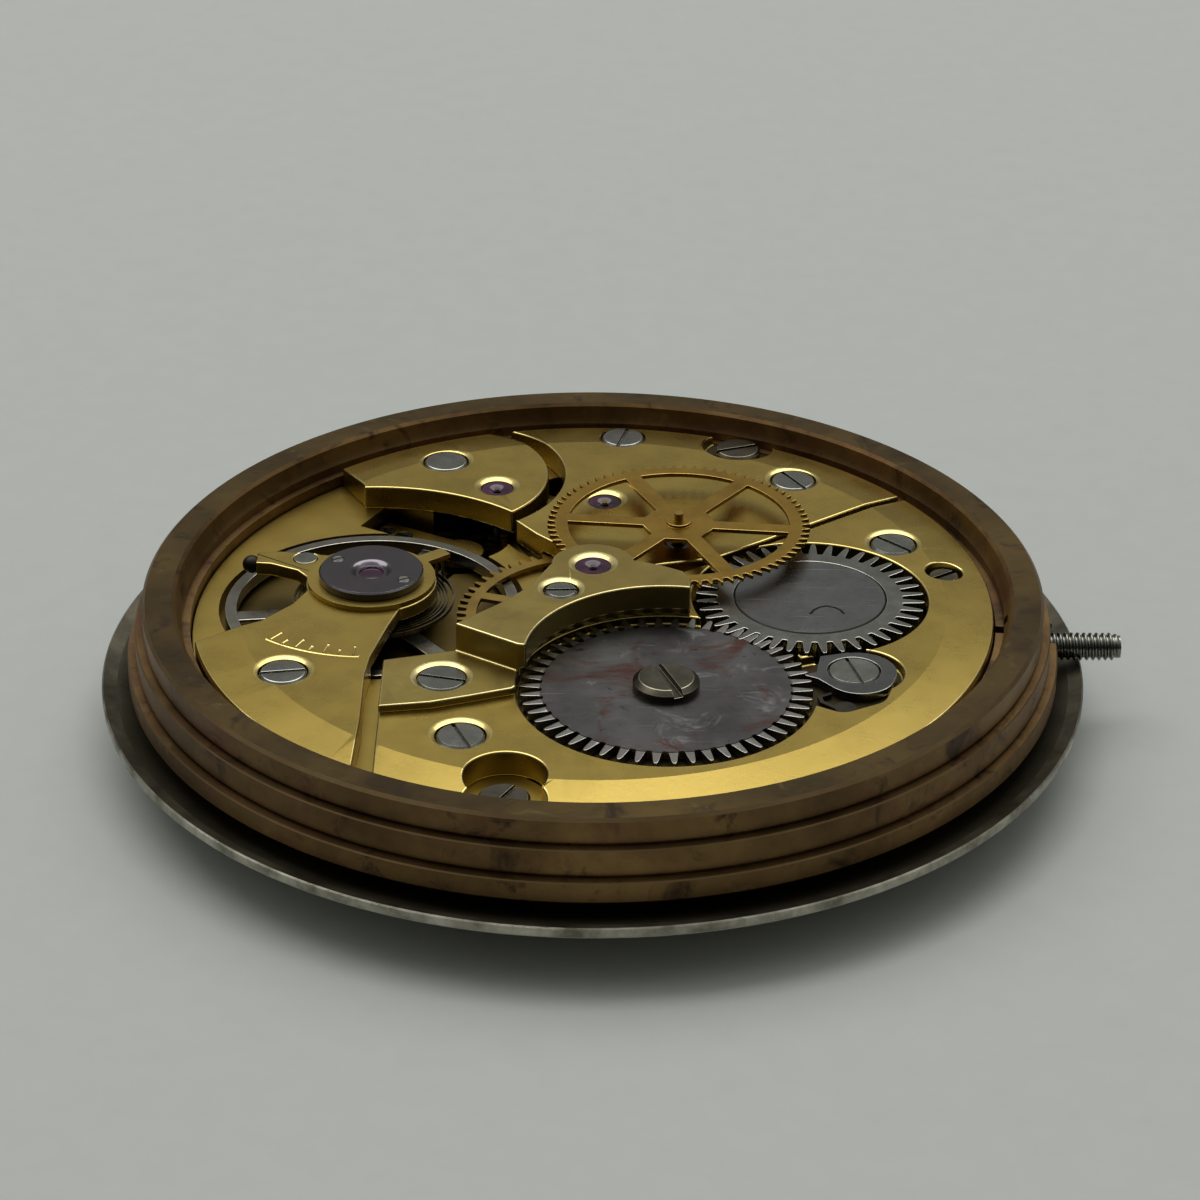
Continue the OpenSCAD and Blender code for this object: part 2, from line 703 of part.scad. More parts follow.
module train_bridge() {
    outline = [[-2.6, 5.3], [-1.9, 4.35], [-0.6, 3.0], [1.2, 2.0], [4.0, 2.7], [14, 10.3], [14, 14], [-6, 14]];
    color(gilt)
        difference() {
            intersection() {
                bridge_stock(seat_z);
                slab(0, 5)
                    difference() {
                        polygon(outline);
                        translate(escape_bridge_c)
                            circle(r = escape_bridge_r + bridge_gap);
                    }
            }
            disc(tip_r(centre_teeth, centre_pr) + tooth_air, 0, centre_under);
            put(third_c) {
                disc(tip_r(third_leaves, third_pinion_pr) + tooth_air, 0, centre_under + 0.03);
                disc(jewel_d/2 + snug, upper_jewel_z, bridge_top + 1);
                disc(0.3, 0, bridge_top);
            }
            jewel_seat(fourth_c);
            put(crown_c)
                disc(crown_pr + wind_addendum + tooth_air, crown_z - air, bridge_top + 1);
            screw_hole(train_screw_a[0], bridge_top, 0);
            screw_hole(train_screw_b[0], bridge_top, 0);
            put(case_screw_c[0]) {
                disc(1.2, ledge_z, bridge_top + 1);
                disc(0.3 + snug, 0, bridge_top);
            }
        }
}
bridge_gap = 0.55;
escape_bridge_c = [-5.5, 8.75];
escape_bridge_r = 3.95;

// A through hole for an upper jewel, with the polished sink round it
module jewel_seat(c)
    put(c) {
        disc(jewel_d/2 + snug, upper_jewel_z, bridge_top + 1);
        disc(0.3, 0, bridge_top);
        translate([0, 0, bridge_top - 0.12])
            cylinder(r1 = jewel_d/2 + snug, r2 = jewel_d/2 + 0.19, h = 0.14);
    }

module escape_bridge() {
    color(gilt)
        difference() {
            intersection() {
                bridge_stock(seat_z);
                slab(0, 5)
                    difference() {
                        translate(escape_bridge_c)
                            circle(r = escape_bridge_r);
                        translate([-7.3, 1.0])
                            circle(r = 6.72);
                        polygon([[-7.8, 7.89], [-9.2, 10.4], [-12, 10.4], [-12, 5], [-7.8, 5]]);
                    }
            }
            jewel_seat(escape_c);
            screw_hole(escape_screw_at[0], bridge_top, 0);
        }
}

module centre_bridge() {
    top = [[-4.25, -4.02], [-2.74, -2.51], [-1.98, -1.51], [-1.33, 0], [0, 0], [1.41, 0.21], [2.21, -0.12],
        [2.86, -0.5], [3.08, -1.0], [3.08, -3], [-1, -5.6], [-2.3, -5.3]];
    foot = [[-6.45, -4.65], [-4.26, -4.04], [-2.6, -2.6], [-1.5, -5], [-2.43, -6.38], [-3.7, -6.85],
        [-4.9, -7.25], [-6.45, -7.5]];
    bore_r = tip_r(sweep_leaves, sweep_pr) + tooth_air;
    color(gilt)
        difference() {
            union() {
                slab(bridge_top, bridge_top + foot_t)
                    difference() {
                        polygon(foot);
                        translate(barrel_c)
                            circle(r = ratchet_pr + wind_addendum + tooth_air);
                    }
                slab(bridge_top, centre_top)
                    difference() {
                        union() {
                            polygon(top);
                            circle(r = 1.33);
                        }
                        translate(barrel_c)
                            circle(r = 4.33);
                    }
            }
            put(barrel_c)
                disc(ratchet_pr + wind_addendum + tooth_air, bridge_top - 1, wind_top + 0.08);
            put(crown_c)
                disc(crown_pr + wind_addendum + tooth_air, bridge_top - 1, wind_top + 0.08);
            put(third_c)
                disc(tip_r(drive_teeth, drive_pr) + tooth_air, bridge_top - 1, arm_under);
            disc(bore_r, bridge_top - 1, arm_under);
            disc(0.15 + run, bridge_top, centre_top + 1);
            disc(0.57 + snug, centre_top - jewel_t - 0.02, centre_top + 1);
            translate([0, 0, centre_top - 0.08])
                cylinder(r1 = 0.57 + snug, r2 = 0.68, h = 0.1);
            screw_hole(head_screw_at[0], centre_top, 0, head_screw_d);
            screw_hole(foot_screw_at[0], bridge_top + foot_t, 0, screw_head_d, foot_t - 0.06);
        }
}

module balance_cock() {
    edge = [[-7.25, -12], [-6.98, -7.9], [-7.0, -5.1], [-6.9, -4.0], [-6.45, -2.0], [-6.15, -0.9],
        [-5.5, -0.2], [-7.15, 0.95], [-8.3, 2.7], [-10.3, 3.02], [-11.0, 2.9], [-11.0, 2.2], [-10.5, 2.15],
        [-9.6, 1.7], [-9.15, 1.1], [-9.2, 0.3], [-9.6, -0.6], [-10.5, -1.7], [-11.65, -2.35],
        [-12.6, -2.9], [-14, -12]];
    color(gilt)
        difference() {
            intersection() {
                bridge_stock(seat_z);
                slab(0, 5) {
                    polygon(edge);
                    translate(balance_c)
                        circle(d = regulator_d + 0.1);
                }
            }
            put(balance_c) {
                disc(well_r, 0, cock_under);
                disc(0.3, 0, bridge_top + 1);
                disc(jewel_d/2 + snug, cock_under + 0.12, bridge_top + 1);
            }
            put(stud_c)
                disc(0.38 + snug, 0, bridge_top + 1);
            stud_screw_shape(snug);
            screw_hole(cock_screw_at[0], bridge_top, 0);
        }
}
stud_turn = 145;
stud_c = at(balance_c, stud_at, stud_turn);
ball_c = [-11.0, 2.5];

// The stud's clamp screw, which lies in the end of the cock's arm
module stud_screw_shape(grow) {
    reach = norm(ball_c - stud_c) - 0.42;
    put(ball_c, way(ball_c, stud_c))
        translate([0, 0, bridge_top - 0.22])
            rotate([0, 90, 0])
                cylinder(d = 0.28 + 2*grow, h = reach);
}

module stud_screw()
    color(dark_steel) {
        stud_screw_shape(0);
        put(ball_c, way(ball_c, stud_c))
            translate([-0.16, 0, bridge_top - 0.22])
                rotate([0, 90, 0])
                    rotate_extrude()
                        intersection() {
                            circle(d = 0.6);
                            translate([0, -0.3])
                                square([0.4, 0.56]);
                        }
    }

module hairspring_stud()
    color(steel)
        put(stud_c) {
            disc(0.38, cock_under, bridge_top + 0.02);
            disc(0.24, hairspring_z - 0.04, cock_under);
        }

module regulator_index() {
    pin_at = stud_at - 0.04;
    color(gilt)
        put(balance_c, 38) {
            difference() {
                union() {
                    disc(regulator_d/2, bridge_top + 0.01, bridge_top + 0.17);
                    bar(regulator_d/2 - 0.3, pin_at + 0.25, 0.5, bridge_top + 0.01, bridge_top + 0.17);
                }
                disc(cap_d/2 - 0.1 + run, bridge_top - 1, bridge_top + 1);
            }
            for (s = [-1, 1])
                translate([pin_at + s*0.12, 0, 0])
                    disc(0.05, hairspring_z, bridge_top + 0.1);
        }
}

cap_z0 = bridge_top + 0.19;
cap_top = cap_z0 + cap_t;
cap_screw_turn = [149, -33];
cap_screw_at = 1.3;

module cap_plate()
    color(dark_steel)
        difference() {
            put(balance_c) {
                disc(cap_d/2 - 0.1, bridge_top, cap_z0);
                disc(cap_d/2, cap_z0, cap_top - 0.05);
                translate([0, 0, cap_top - 0.05])
                    cylinder(d1 = cap_d, d2 = cap_d - 0.1, h = 0.05);
            }
            put(balance_c) {
                disc(0.4, 0, cap_top + 1);
                disc(0.5 + snug, cap_z0, cap_z0 + 0.12);
                translate([0, 0, cap_z0 + 0.11])
                    cylinder(r1 = 0.5, r2 = 0.64, h = cap_t - 0.1);
                for (a = cap_screw_turn)
                    put(at(centre_c, cap_screw_at, a)) {
                        disc(0.13, bridge_top - 1, cap_top);
                        disc(0.2 + snug, cap_top - 0.12, cap_top + 1);
                    }
            }
        }

module cap_screws()
    color(steel)
        for (a = cap_screw_turn)
            put(at(balance_c, cap_screw_at, a))
                translate([0, 0, cap_top + 0.02])
                    screw(0.4, 0.13, 0.24, cap_top - bridge_top + 0.02, a + 60);

// Jewels of the bridges and the cock
module upper_jewels()
    color(ruby) {
        for (c = [fourth_c, escape_c])
            put(c)
                jewel(jewel_d/2, pivot_d/2 + run, upper_jewel_z, upper_jewel_z + jewel_t);
        put(third_c)
            jewel(jewel_d/2, 0.15 + run, upper_jewel_z, upper_jewel_z + jewel_t);
        jewel(0.57, pivot_d/2 + run, centre_top - jewel_t - 0.02, centre_top - 0.02);
        put(balance_c)
            jewel(jewel_d/2, pivot_d/2 + run, cock_under + 0.12, cock_under + 0.12 + jewel_t);
    }

// The domed end stone that the cap plate holds over the balance pivot
module cap_jewel()
    color(ruby)
        put(balance_c) {
            disc(0.5, cap_z0, cap_z0 + 0.05);
            translate([0, 0, cap_z0 + 0.05])
                cylinder(r1 = 0.5, r2 = 0.34, h = 0.07);
        }

module lower_jewels()
    color(ruby)
        for (c = [third_c, fourth_c, escape_c, pallet_c, balance_c])
            put(c)
                jewel(jewel_d/2, pivot_d/2 + run, lower_jewel_z, lower_jewel_z + jewel_t);

module pallet_bridge()
    color(gilt)
        put(pallet_c, way(escape_c, balance_c))
            difference() {
                union() {
                    translate([-0.55, -3.2, pallet_bridge_z])
                        cube([1.1, 3.2, pallet_bridge_top - pallet_bridge_z]);
                    disc(0.8, pallet_bridge_z, pallet_bridge_top);
                }
                disc(pivot_d/2 + run, 0, seat_z);
                for (y = pallet_screw_y)
                    translate([0, y, 0]) {
                        disc(0.2 + snug, 0, seat_z);
                        disc(pallet_screw_d/2 + snug, pallet_bridge_top - 0.14, seat_z);
                    }
            }
pallet_bridge_top = well_z - 0.03;
pallet_screw_d = 0.6;
pallet_screw_y = [-2.2, -2.9];

module bridge_screw(s, top = bridge_top, head_d = screw_head_d, reach = thread_reach, head_h = screw_head_h)
    color(steel)
        put(s[0])
            translate([0, 0, top])
                screw(head_d, head_h, screw_d, reach, s[1]);

module barrel_screws() {
    bridge_screw(barrel_screw_a);
    bridge_screw(barrel_screw_b);
}

module train_screws() {
    bridge_screw(train_screw_a);
    bridge_screw(train_screw_b);
}

module centre_screws() {
    bridge_screw(foot_screw_at, bridge_top + foot_t, screw_head_d, thread_reach + foot_t, foot_t - 0.06);
    bridge_screw(head_screw_at, centre_top, head_screw_d, centre_top - centre_under - 0.1);
}

// The screws of the balance cock and the escape bridge
module cock_screws() {
    bridge_screw(cock_screw_at);
    bridge_screw(escape_screw_at);
}

module pallet_screws()
    color(steel)
        put(pallet_c, way(escape_c, balance_c))
            for (y = pallet_screw_y)
                translate([0, y, pallet_bridge_top])
                    screw(pallet_screw_d, 0.14, 0.4, 0.7, 40*y);

// The half-headed screws that hold the casing ring by its ledge
module case_screws()
    color(steel)
        for (i = [0, 1])
            put(case_screw_c[i])
                translate([0, 0, ledge_z + 0.3])
                    screw(2*case_screw_r, 0.29, 0.6, 1.3, i*40 + 20);

module dial_screws()
    color(steel)
        for (c = dial_foot_c)
            put(centre_c, way(centre_c, c))
                translate([dial_foot_at + dial_foot_d/2 + 0.02, 0, 1.12])
                    rotate([0, 90, 0])
                        cylinder(d = 0.42, h = flange_d/2 - dial_foot_at - dial_foot_d/2 - 0.05);

module ratchet_wheel()
    color(steel)
        put(barrel_c)
            slab(ratchet_z, wind_top)
                difference() {
                    gear_2d(ratchet_teeth, ratchet_pr + wind_addendum, ratchet_pr - wind_dedendum, ratchet_turn,
                        0.22, 0.56);
                    square(1.1 + 2*snug, center = true);
                }

module ratchet_screw()
    color(dark_steel)
        put(barrel_c) {
            difference() {
                union() {
                    disc(ratchet_screw_d/2, wind_top, wind_top + ratchet_screw_h - 0.14);
                    translate([0, 0, wind_top + ratchet_screw_h - 0.14])
                        cylinder(d1 = ratchet_screw_d, d2 = ratchet_screw_d - 0.36, h = 0.14);
                }
                rotate([0, 0, -65])
                    bar(-2, 2, 0.34, wind_top + ratchet_screw_h - 0.2, wind_top + 1);
            }
            disc(0.4, wind_top - 0.9, wind_top);
        }

module barrel_arbor()
    color(steel)
        put(barrel_c)
            difference() {
                union() {
                    disc(arbor_d/3, plate_z0 + 0.1, barrel_z0 + 0.25);
                    disc(arbor_core_d/2, barrel_z0 + 0.24, barrel_top - cover_t - 0.04);
                    bar(arbor_core_d/2 - 0.1, arbor_core_d/2 + 0.12, 0.3, barrel_z0 + 0.5, barrel_z0 + 0.8);
                    disc(arbor_d/2, barrel_top - cover_t - 0.1, ratchet_z);
                    slab(ratchet_z - 0.05, wind_top - 0.01)
                        square(1.1, center = true);
                }
                disc(0.4 + snug, wind_top - 0.95, wind_top + 1);
            }

module barrel_drum()
    color(brass)
        put(barrel_c)
            difference() {
                union() {
                    gear(barrel_teeth, barrel_pr, barrel_turn, barrel_z0, barrel_z0 + 0.42);
                    disc(drum_d/2, barrel_z0, barrel_top);
                }
                disc(drum_d/2 - drum_wall, barrel_z0 + 0.2, barrel_top + 1);
                disc(arbor_d/3 + run, barrel_z0 - 1, barrel_top);
            }

module barrel_cover()
    color(brass)
        put(barrel_c)
            difference() {
                disc(drum_d/2 - drum_wall, barrel_top - cover_t, barrel_top);
                disc(arbor_d/2 + run, barrel_z0, barrel_top + 1);
            }

// A flat spiral blade, from a radius to a radius over so many turns
function spiral_r(r0, r1, s) = r0 + (r1 - r0)*s;
module spiral(r0, r1, turns, t, start, z0, z1) {
    n = round(turns*24);
    side = function (grow) [for (i = [0:n])
        let (s = i/n, r = spiral_r(r0, r1, s) + grow, a = start + 360*turns*s)
        [r*cos(a), r*sin(a)]];
    back = side(-t/2);
    slab(z0, z1)
        polygon(concat(side(t/2), [for (i = [n:-1:0]) back[i]]));
}

module mainspring()
    color(dark_steel)
        put(barrel_c)
            spiral(arbor_core_d/2 + 0.25, drum_d/2 - drum_wall - mainspring_t/2 - 0.02, mainspring_turns,
                mainspring_t, 0, barrel_z0 + 0.26, barrel_top - cover_t - 0.08);

// The crown wheel turns on this core, whose flush cap covers its middle
module crown_core()
    color(dark_steel)
        put(crown_c)
            difference() {
                union() {
                    disc(crown_cap_d/2, wind_top - 0.2, wind_top + 0.01);
                    disc(1.5, crown_z - air, wind_top - 0.19);
                    disc(0.5, seat_z + 0.02, crown_z);
                }
                // Key recess in the cap
                put([0.52, -1.08])
                    slab(wind_top - 0.04, wind_top + 1)
                        intersection() {
                            circle(r = 0.4);
                            translate([-0.5, -0.12])
                                square([1, 1]);
                        }
            }

module crown_wheel()
    color(steel)
        put(crown_c)
            difference() {
                slab(crown_z, wind_top)
                    gear_2d(crown_teeth, crown_pr + wind_addendum, crown_pr - wind_dedendum, crown_turn,
                        0.22, 0.56);
                disc(1.5 + run, crown_z - 1, wind_top + 1);
                disc(crown_cap_d/2 + run, wind_top - 0.2 - run, wind_top + 1);
            }

ratchet_pitch = 360/ratchet_teeth;
nose_way = way(barrel_c, [6.3, -4.93]);
// The gap of the ratchet wheel nearest to the click's nose
nose_turn = ratchet_turn + ratchet_pitch*(round((nose_way - ratchet_turn)/ratchet_pitch - 0.5) + 0.5);
nose = at(barrel_c, ratchet_pr + 0.08, nose_turn);

module click() {
    root = at(barrel_c, ratchet_pr + wind_addendum + 0.12, nose_turn);
    color(steel)
        difference() {
            slab(ratchet_z, wind_top - 0.02)
                polygon(concat(
                    [nose + [0.02, 0.06], root + [0.1, 0.28], click_c + [-1.02, 0.62]],
                    [for (a = [120:-7.5:-10]) at(click_c, click_d/2, a)],
                    [for (a = [-15:-7.5:-135]) at(click_c + [0.06, -0.36], click_d/2 - 0.05, a)],
                    [root + [0.14, -0.24], nose + [0.02, -0.06]]
                ));
            put(click_c) {
                disc(screw_d/2 + 0.12 + run, 0, 5);
                disc(click_screw_d/2 + run, wind_top - 0.17, 5);
            }
        }
}

module click_screw()
    color(dark_steel)
        put(click_c)
            translate([0, 0, wind_top - 0.01])
                difference() {
                    union() {
                        translate([0, 0, -0.14])
                            cylinder(d = click_screw_d, h = 0.14);
                        translate([0, 0, -(wind_top - ratchet_z) + 0.01 - air])
                            cylinder(d = screw_d + 0.24, h = wind_top - ratchet_z + air - 0.14);
                        translate([0, 0, seat_z - wind_top + 0.02])
                            cylinder(d = screw_d, h = wind_top - seat_z - 0.2);
                    }
                    rotate([0, 0, 30])
                        bar(-2, 2, slot_w, -slot_d, 1);
                }

// A bent wire spring that presses the click home
module click_spring()
    color(steel) {
        put([7.7, -6.75])
            disc(0.3, seat_z + 0.14, ratchet_z + 0.12);
        put([7.7, -6.75])
            difference() {
                disc(0.34, ratchet_z - air + 0.01, ratchet_z + 0.12);
                disc(0.1, 0, 5);
            }
        slab(ratchet_z, ratchet_z + 0.12)
            polygon([[7.45, -6.9], [6.95, -6.45], [6.88, -6.1], [7.3, -5.84], [7.33, -5.95], [7.02, -6.14],
                [7.06, -6.38], [7.55, -6.75]]);
    }

module centre_wheel()
    color(brass)
        difference() {
            union() {
                wheel(centre_teeth, centre_pr, centre_turn, 0.32, 0.85, 5, 0.42, 18, centre_wheel_z, wheel_t);
                gear(centre_leaves, centre_pinion_pr, centre_pinion_turn, barrel_z0 + 0.02, barrel_z0 + 0.6);
                disc(0.5, barrel_z0 + 0.59, centre_wheel_z + 0.01);
                translate([0, 0, -minute_reach + 0.1])
                    cylinder(r1 = 0.3, r2 = 0.31, h = 0.75);
                disc(0.32, -minute_reach + 0.84, bridge_top - 0.05);
            }
            disc(0.15 + run, -5, 5);
        }

module third_wheel()
    color(brass)
        put(third_c) {
            wheel(third_teeth, third_pr, third_turn, 0.28, 0.6, 5, 0.36, 0, third_wheel_z, wheel_t);
            gear(third_leaves, third_pinion_pr, third_pinion_turn, third_wheel_z + wheel_t - 0.01,
                centre_wheel_z + wheel_t + 0.05);
            disc(0.3, lower_jewel_z + jewel_t + 0.06, centre_wheel_z);
            disc(pivot_d/2, lower_jewel_z + 0.02, lower_jewel_z + jewel_t + 0.07);
            disc(0.15, centre_wheel_z, drive_top + 0.37);
        }

module drive_wheel()
    color(gilt)
        put(third_c)
            difference() {
                union() {
                    wheel(drive_teeth, drive_pr, drive_turn, drive_rim, 1.13, 6, drive_spoke_w, 54, drive_z,
                        drive_top - drive_z);
                    disc(0.42, drive_z - 0.3, drive_top + 0.1);
                }
                disc(0.15, 0, 5);
            }

module fourth_wheel()
    color(brass)
        put(fourth_c) {
            wheel(fourth_teeth, fourth_pr, fourth_turn, 0.28, 0.6, 5, 0.36, 30, fourth_wheel_z, wheel_t);
            gear(fourth_leaves, fourth_pinion_pr, fourth_pinion_turn, third_wheel_z - 0.08,
                third_wheel_z + wheel_t + 0.06);
            disc(0.28, lower_jewel_z + jewel_t + 0.06, third_wheel_z);
            disc(pivot_d/2, lower_jewel_z + 0.02, lower_jewel_z + jewel_t + 0.07);
            disc(0.22, third_wheel_z, upper_jewel_z - 0.05);
            disc(pivot_d/2, upper_jewel_z - 0.06, upper_jewel_z + jewel_t - 0.06);
        }

// The escape wheel has club teeth that lean forward
module escape_wheel() {
    out_r = escape_d/2;
    color(steel)
        put(escape_c) {
            slab(escape_wheel_z, escape_wheel_z + escape_t) {
                difference() {
                    polygon([for (i = [0:escape_teeth - 1], p = [[0, 1.5], [7, 2.15], [10, 2.08], [9, 1.5]])
                        let (a = escape_turn + i*360/escape_teeth + p[0], r = p[1]*out_r/2.15)
                        [r*cos(a), r*sin(a)]]);
                    circle(r = 1.2);
                }
                circle(r = 0.5);
                for (k = [0:3])
                    rotate([0, 0, k*90 + 20])
                        translate([0, -0.13])
                            square([1.3, 0.26]);
            }
            gear(escape_leaves, escape_pinion_pr, escape_pinion_turn, fourth_wheel_z - 0.05,
                fourth_wheel_z + wheel_t + 0.06);
            disc(0.2, lower_jewel_z + jewel_t + 0.06, upper_jewel_z - 0.05);
            disc(pivot_d/2, lower_jewel_z + 0.02, upper_jewel_z + jewel_t - 0.06);
        }
}

// The seconds hand's arbor runs through the hollow centre arbor
module sweep_pinion()
    color(steel) {
        gear(sweep_leaves, sweep_pr, sweep_turn, drive_z - 0.08, drive_top + 0.05);
        disc(0.15, bridge_top, centre_top - jewel_t - 0.06);
        disc(seconds_post_d/2, -seconds_reach, -minute_reach);
        taper(seconds_post_d/2, -minute_reach - 0.01);
        disc(seconds_post_d/2 + 0.01, taper_l - minute_reach - 0.02, bridge_top + 0.01);
        disc(pivot_d/2, centre_top - jewel_t - 0.07, centre_top - 0.1);
    }

// The friction spring that steadies the seconds hand, bent over the sweep pinion's shoulder
module sweep_spring()
    color(brass) {
        slab(bridge_top, bridge_top + 0.06)
            difference() {
                circle(r = 0.74);
                circle(r = 0.24);
                rotate([0, 0, 20])
                    square([2, 2]);
            }
    }

// Shoulder behind a hand's seat, and the length over which the post then tapers
post_step = 0.02;
taper_l = 0.56;
module taper(r, z)
    translate([0, 0, z])
        cylinder(r1 = r + 0.01, r2 = r + post_step, h = taper_l);
pallet_plane = escape_wheel_z + 0.02;
pallet_t = 0.14;
fork_reach = norm(balance_c - pallet_c) - impulse_at + 0.06;

module pallet_fork()
    color(steel)
        put(pallet_c, way(escape_c, balance_c)) {
            slab(pallet_plane, pallet_plane + pallet_t) {
                circle(r = 0.36);
                // Lever with its notched fork end
                difference() {
                    polygon([[0, -0.2], [fork_reach - 0.55, -0.1], [fork_reach - 0.3, -0.36], [fork_reach, -0.36],
                        [fork_reach, 0.36], [fork_reach - 0.3, 0.36], [fork_reach - 0.55, 0.1], [0, 0.2]]);
                    translate([fork_reach - 0.2, -0.14])
                        square([1, 0.28]);
                }
                // Pallet arms, slotted for the stones
                difference() {
                    for (s = [-1, 1])
                        polygon([[0.2, 0], [0.15, s*0.9], [-0.05, s*1.34], [-0.36, s*1.22], [-0.3, s*0.7], [-0.2, 0]]);
                    rotate([0, 0, -way(escape_c, balance_c)])
                        translate(-pallet_c)
                            stones_2d();
                }
            }
            disc(0.16, lower_jewel_z + jewel_t + 0.04, pallet_bridge_z - 0.04);
            disc(pivot_d/2, lower_jewel_z + 0.02, well_z - 0.06);
        }

module pallet_stones()
    color(ruby)
        slab(pallet_plane, pallet_plane + pallet_t)
            stones_2d();

module stones_2d()
    for (s = [-1, 1])
        translate(escape_c)
            rotate([0, 0, way(escape_c, pallet_c) + s*stone_turn])
                translate([escape_d/2 + 0.02, -0.11])
                    square([0.4, 0.22]);
stone_turn = 29;

module balance_wheel()
    color(silver)
        put(balance_c) {
            difference() {
                disc(balance_d/2, rim_z0, rim_z0 + rim_h);
                disc(balance_d/2 - balance_rim, 0, 5);
            }
            difference() {
                slab(rim_z0 + 0.08, rim_z0 + 0.2) {
                    circle(r = 0.75);
                    for (k = [0:2])
                        rotate([0, 0, 187 + k*120])
                            translate([0, -0.3])
                                square([balance_d/2 - balance_rim/2, 0.6]);
                }
                disc(0.3, 0, 5);
            }
        }

roller_z0 = 1.86;
module balance_staff()
    color(steel)
        put(balance_c) {
            disc(0.3, rim_z0 - 0.08, hairspring_z + 0.1);
            disc(0.5, rim_z0 - 0.08, rim_z0 + 0.08);
            disc(0.2, lower_jewel_z + jewel_t + 0.06, cock_under + 0.02);
            disc(pivot_d/2, lower_jewel_z + 0.02, cock_under + 0.3);
            disc(0.95, roller_z0, roller_z0 + 0.16);
            disc(0.42, pallet_plane - 0.05, roller_z0);
        }

module impulse_jewel()
    color(ruby)
        put(at(balance_c, impulse_at, way(balance_c, pallet_c)))
            disc(0.1, pallet_plane - 0.06, roller_z0);

module hairspring_collet()
    color(brass)
        put(balance_c)
            difference() {
                disc(0.5, hairspring_z - 0.02, hairspring_z + hairspring_h + 0.02);
                disc(0.3, 0, 5);
                bar(0.2, 1, 0.08, 0, 5);
            }

hairspring_r0 = 0.54;
hairspring_r1 = stud_at - 0.3;
hairspring_pitch = (hairspring_r1 - hairspring_r0)/hairspring_turns;
echo(least_gap_of_the_hairspring = hairspring_pitch - hairspring_t);
echo(least_gap_of_the_mainspring =
    (drum_d/2 - drum_wall - mainspring_t/2 - 0.02 - arbor_core_d/2 - 0.25)/mainspring_turns - mainspring_t);

module hairspring()
    color(steel)
        put(balance_c)
            spiral(hairspring_r0, hairspring_r1, hairspring_turns, hairspring_t, stud_turn, hairspring_z,
                hairspring_z + hairspring_h);

// The crown screws on up to here, past the dial's edge; the turns of thread left bare behind it
crown_seat_x = dial_d/2 + 0.15;
thread_turns = 10;

module winding_stem()
    color(dark_steel)
        translate([0, 0, stem_z])
            rotate([0, 90, 0]) {
                translate([0, 0, stem_start])
                    cylinder(d = stem_square - 0.02, h = 0.9);
                translate([-stem_square/2, -stem_square/2, stem_start + 0.85])
                    cube([stem_square, stem_square, 9.3 - stem_start - 0.85]);
                translate([0, 0, 9.28])
                    cylinder(d = 0.8, h = 1.9);
                translate([0, 0, 11.1])
                    cylinder(d = 0.56, h = 0.5);
                translate([0, 0, 11.55])
                    cylinder(d = 1, h = 2.3);
                rotate_extrude()
                    polygon(concat(
                        [[0, 13.8], [thread_d/2 - 0.08, 13.8]],
                        [for (i = [1:2*thread_turns - 1])
                            [thread_d/2 - (i%2 == 0 ? 0.08 : 0.01), 13.8 + (crown_seat_x - 13.8)*i/2/thread_turns]],
                        [[thread_d/2 - 0.08, crown_seat_x], [0, crown_seat_x]]
                    ));
                translate([0, 0, crown_seat_x - 0.01])
                    cylinder(d = thread_d, h = stem_end - crown_seat_x - 0.07);
                translate([0, 0, stem_end - 0.08])
                    cylinder(d1 = thread_d, d2 = thread_d - 0.16, h = 0.08);
            }

// The winding pinion turns on the round of the stem, its toothed flange under the crown wheel
module winding_pinion()
    color(steel)
        translate([0, 0, stem_z])
            rotate([0, 90, 0])
                difference() {
                    union() {
                        translate([0, 0, 9.96])
                            linear_extrude(0.6)
                                gear_2d(winding_teeth, winding_pinion_d/2, winding_pinion_d/2 - 0.2, 180, 0.26, 0.5);
                        translate([0, 0, 9.36])
                            cylinder(d = clutch_d, h = 0.62);
                        translate([0, 0, 9.3])
                            linear_extrude(0.1)
                                gear_2d(10, clutch_d/2 - 0.02, clutch_d/2 - 0.26, 0, 0.4, 0.5);
                    }
                    translate([0, 0, 9])
                        cylinder(d = 0.8 + 2*run, h = 3);
                }

// The clutch slides on the stem's square; the yoke runs in its groove
module clutch()
    color(steel)
        translate([0, 0, stem_z])
            rotate([0, 90, 0])
                difference() {
                    union() {
                        translate([0, 0, 7.3])
                            cylinder(d = clutch_d, h = 0.5);
                        translate([0, 0, 7.1])
                            linear_extrude(0.21)
                                gear_2d(12, clutch_d/2 - 0.02, clutch_d/2 - 0.26, 7, 0.4, 0.5);
                        translate([0, 0, 7.79])
                            cylinder(d = 1.16, h = 0.6);
                        translate([0, 0, 8.38])
                            cylinder(d = clutch_d, h = 0.75);
                    }
                    translate([-stem_square/2 - run, -stem_square/2 - run, 6])
                        cube([stem_square + 2*run, stem_square + 2*run, 5]);
                }

lever_z0 = 0.6;
lever_t = 0.22;
lever_tip = [11.35, -0.02];
yoke_tip = [8.1, -0.05];

module setting_lever()
    color(steel) {
        put(setting_screw_at)
            difference() {
                disc(0.62, lever_z0, lever_z0 + lever_t);
                disc(0.25 + run, 0, 5);
            }
        put(setting_screw_at, way(setting_screw_at, lever_tip))
            bar(0.5, norm(lever_tip - setting_screw_at) + 0.1, 0.5, lever_z0, lever_z0 + lever_t);
        put(lever_tip)
            disc(0.15, lever_z0 + lever_t - 0.01, stem_z - 0.34);
    }

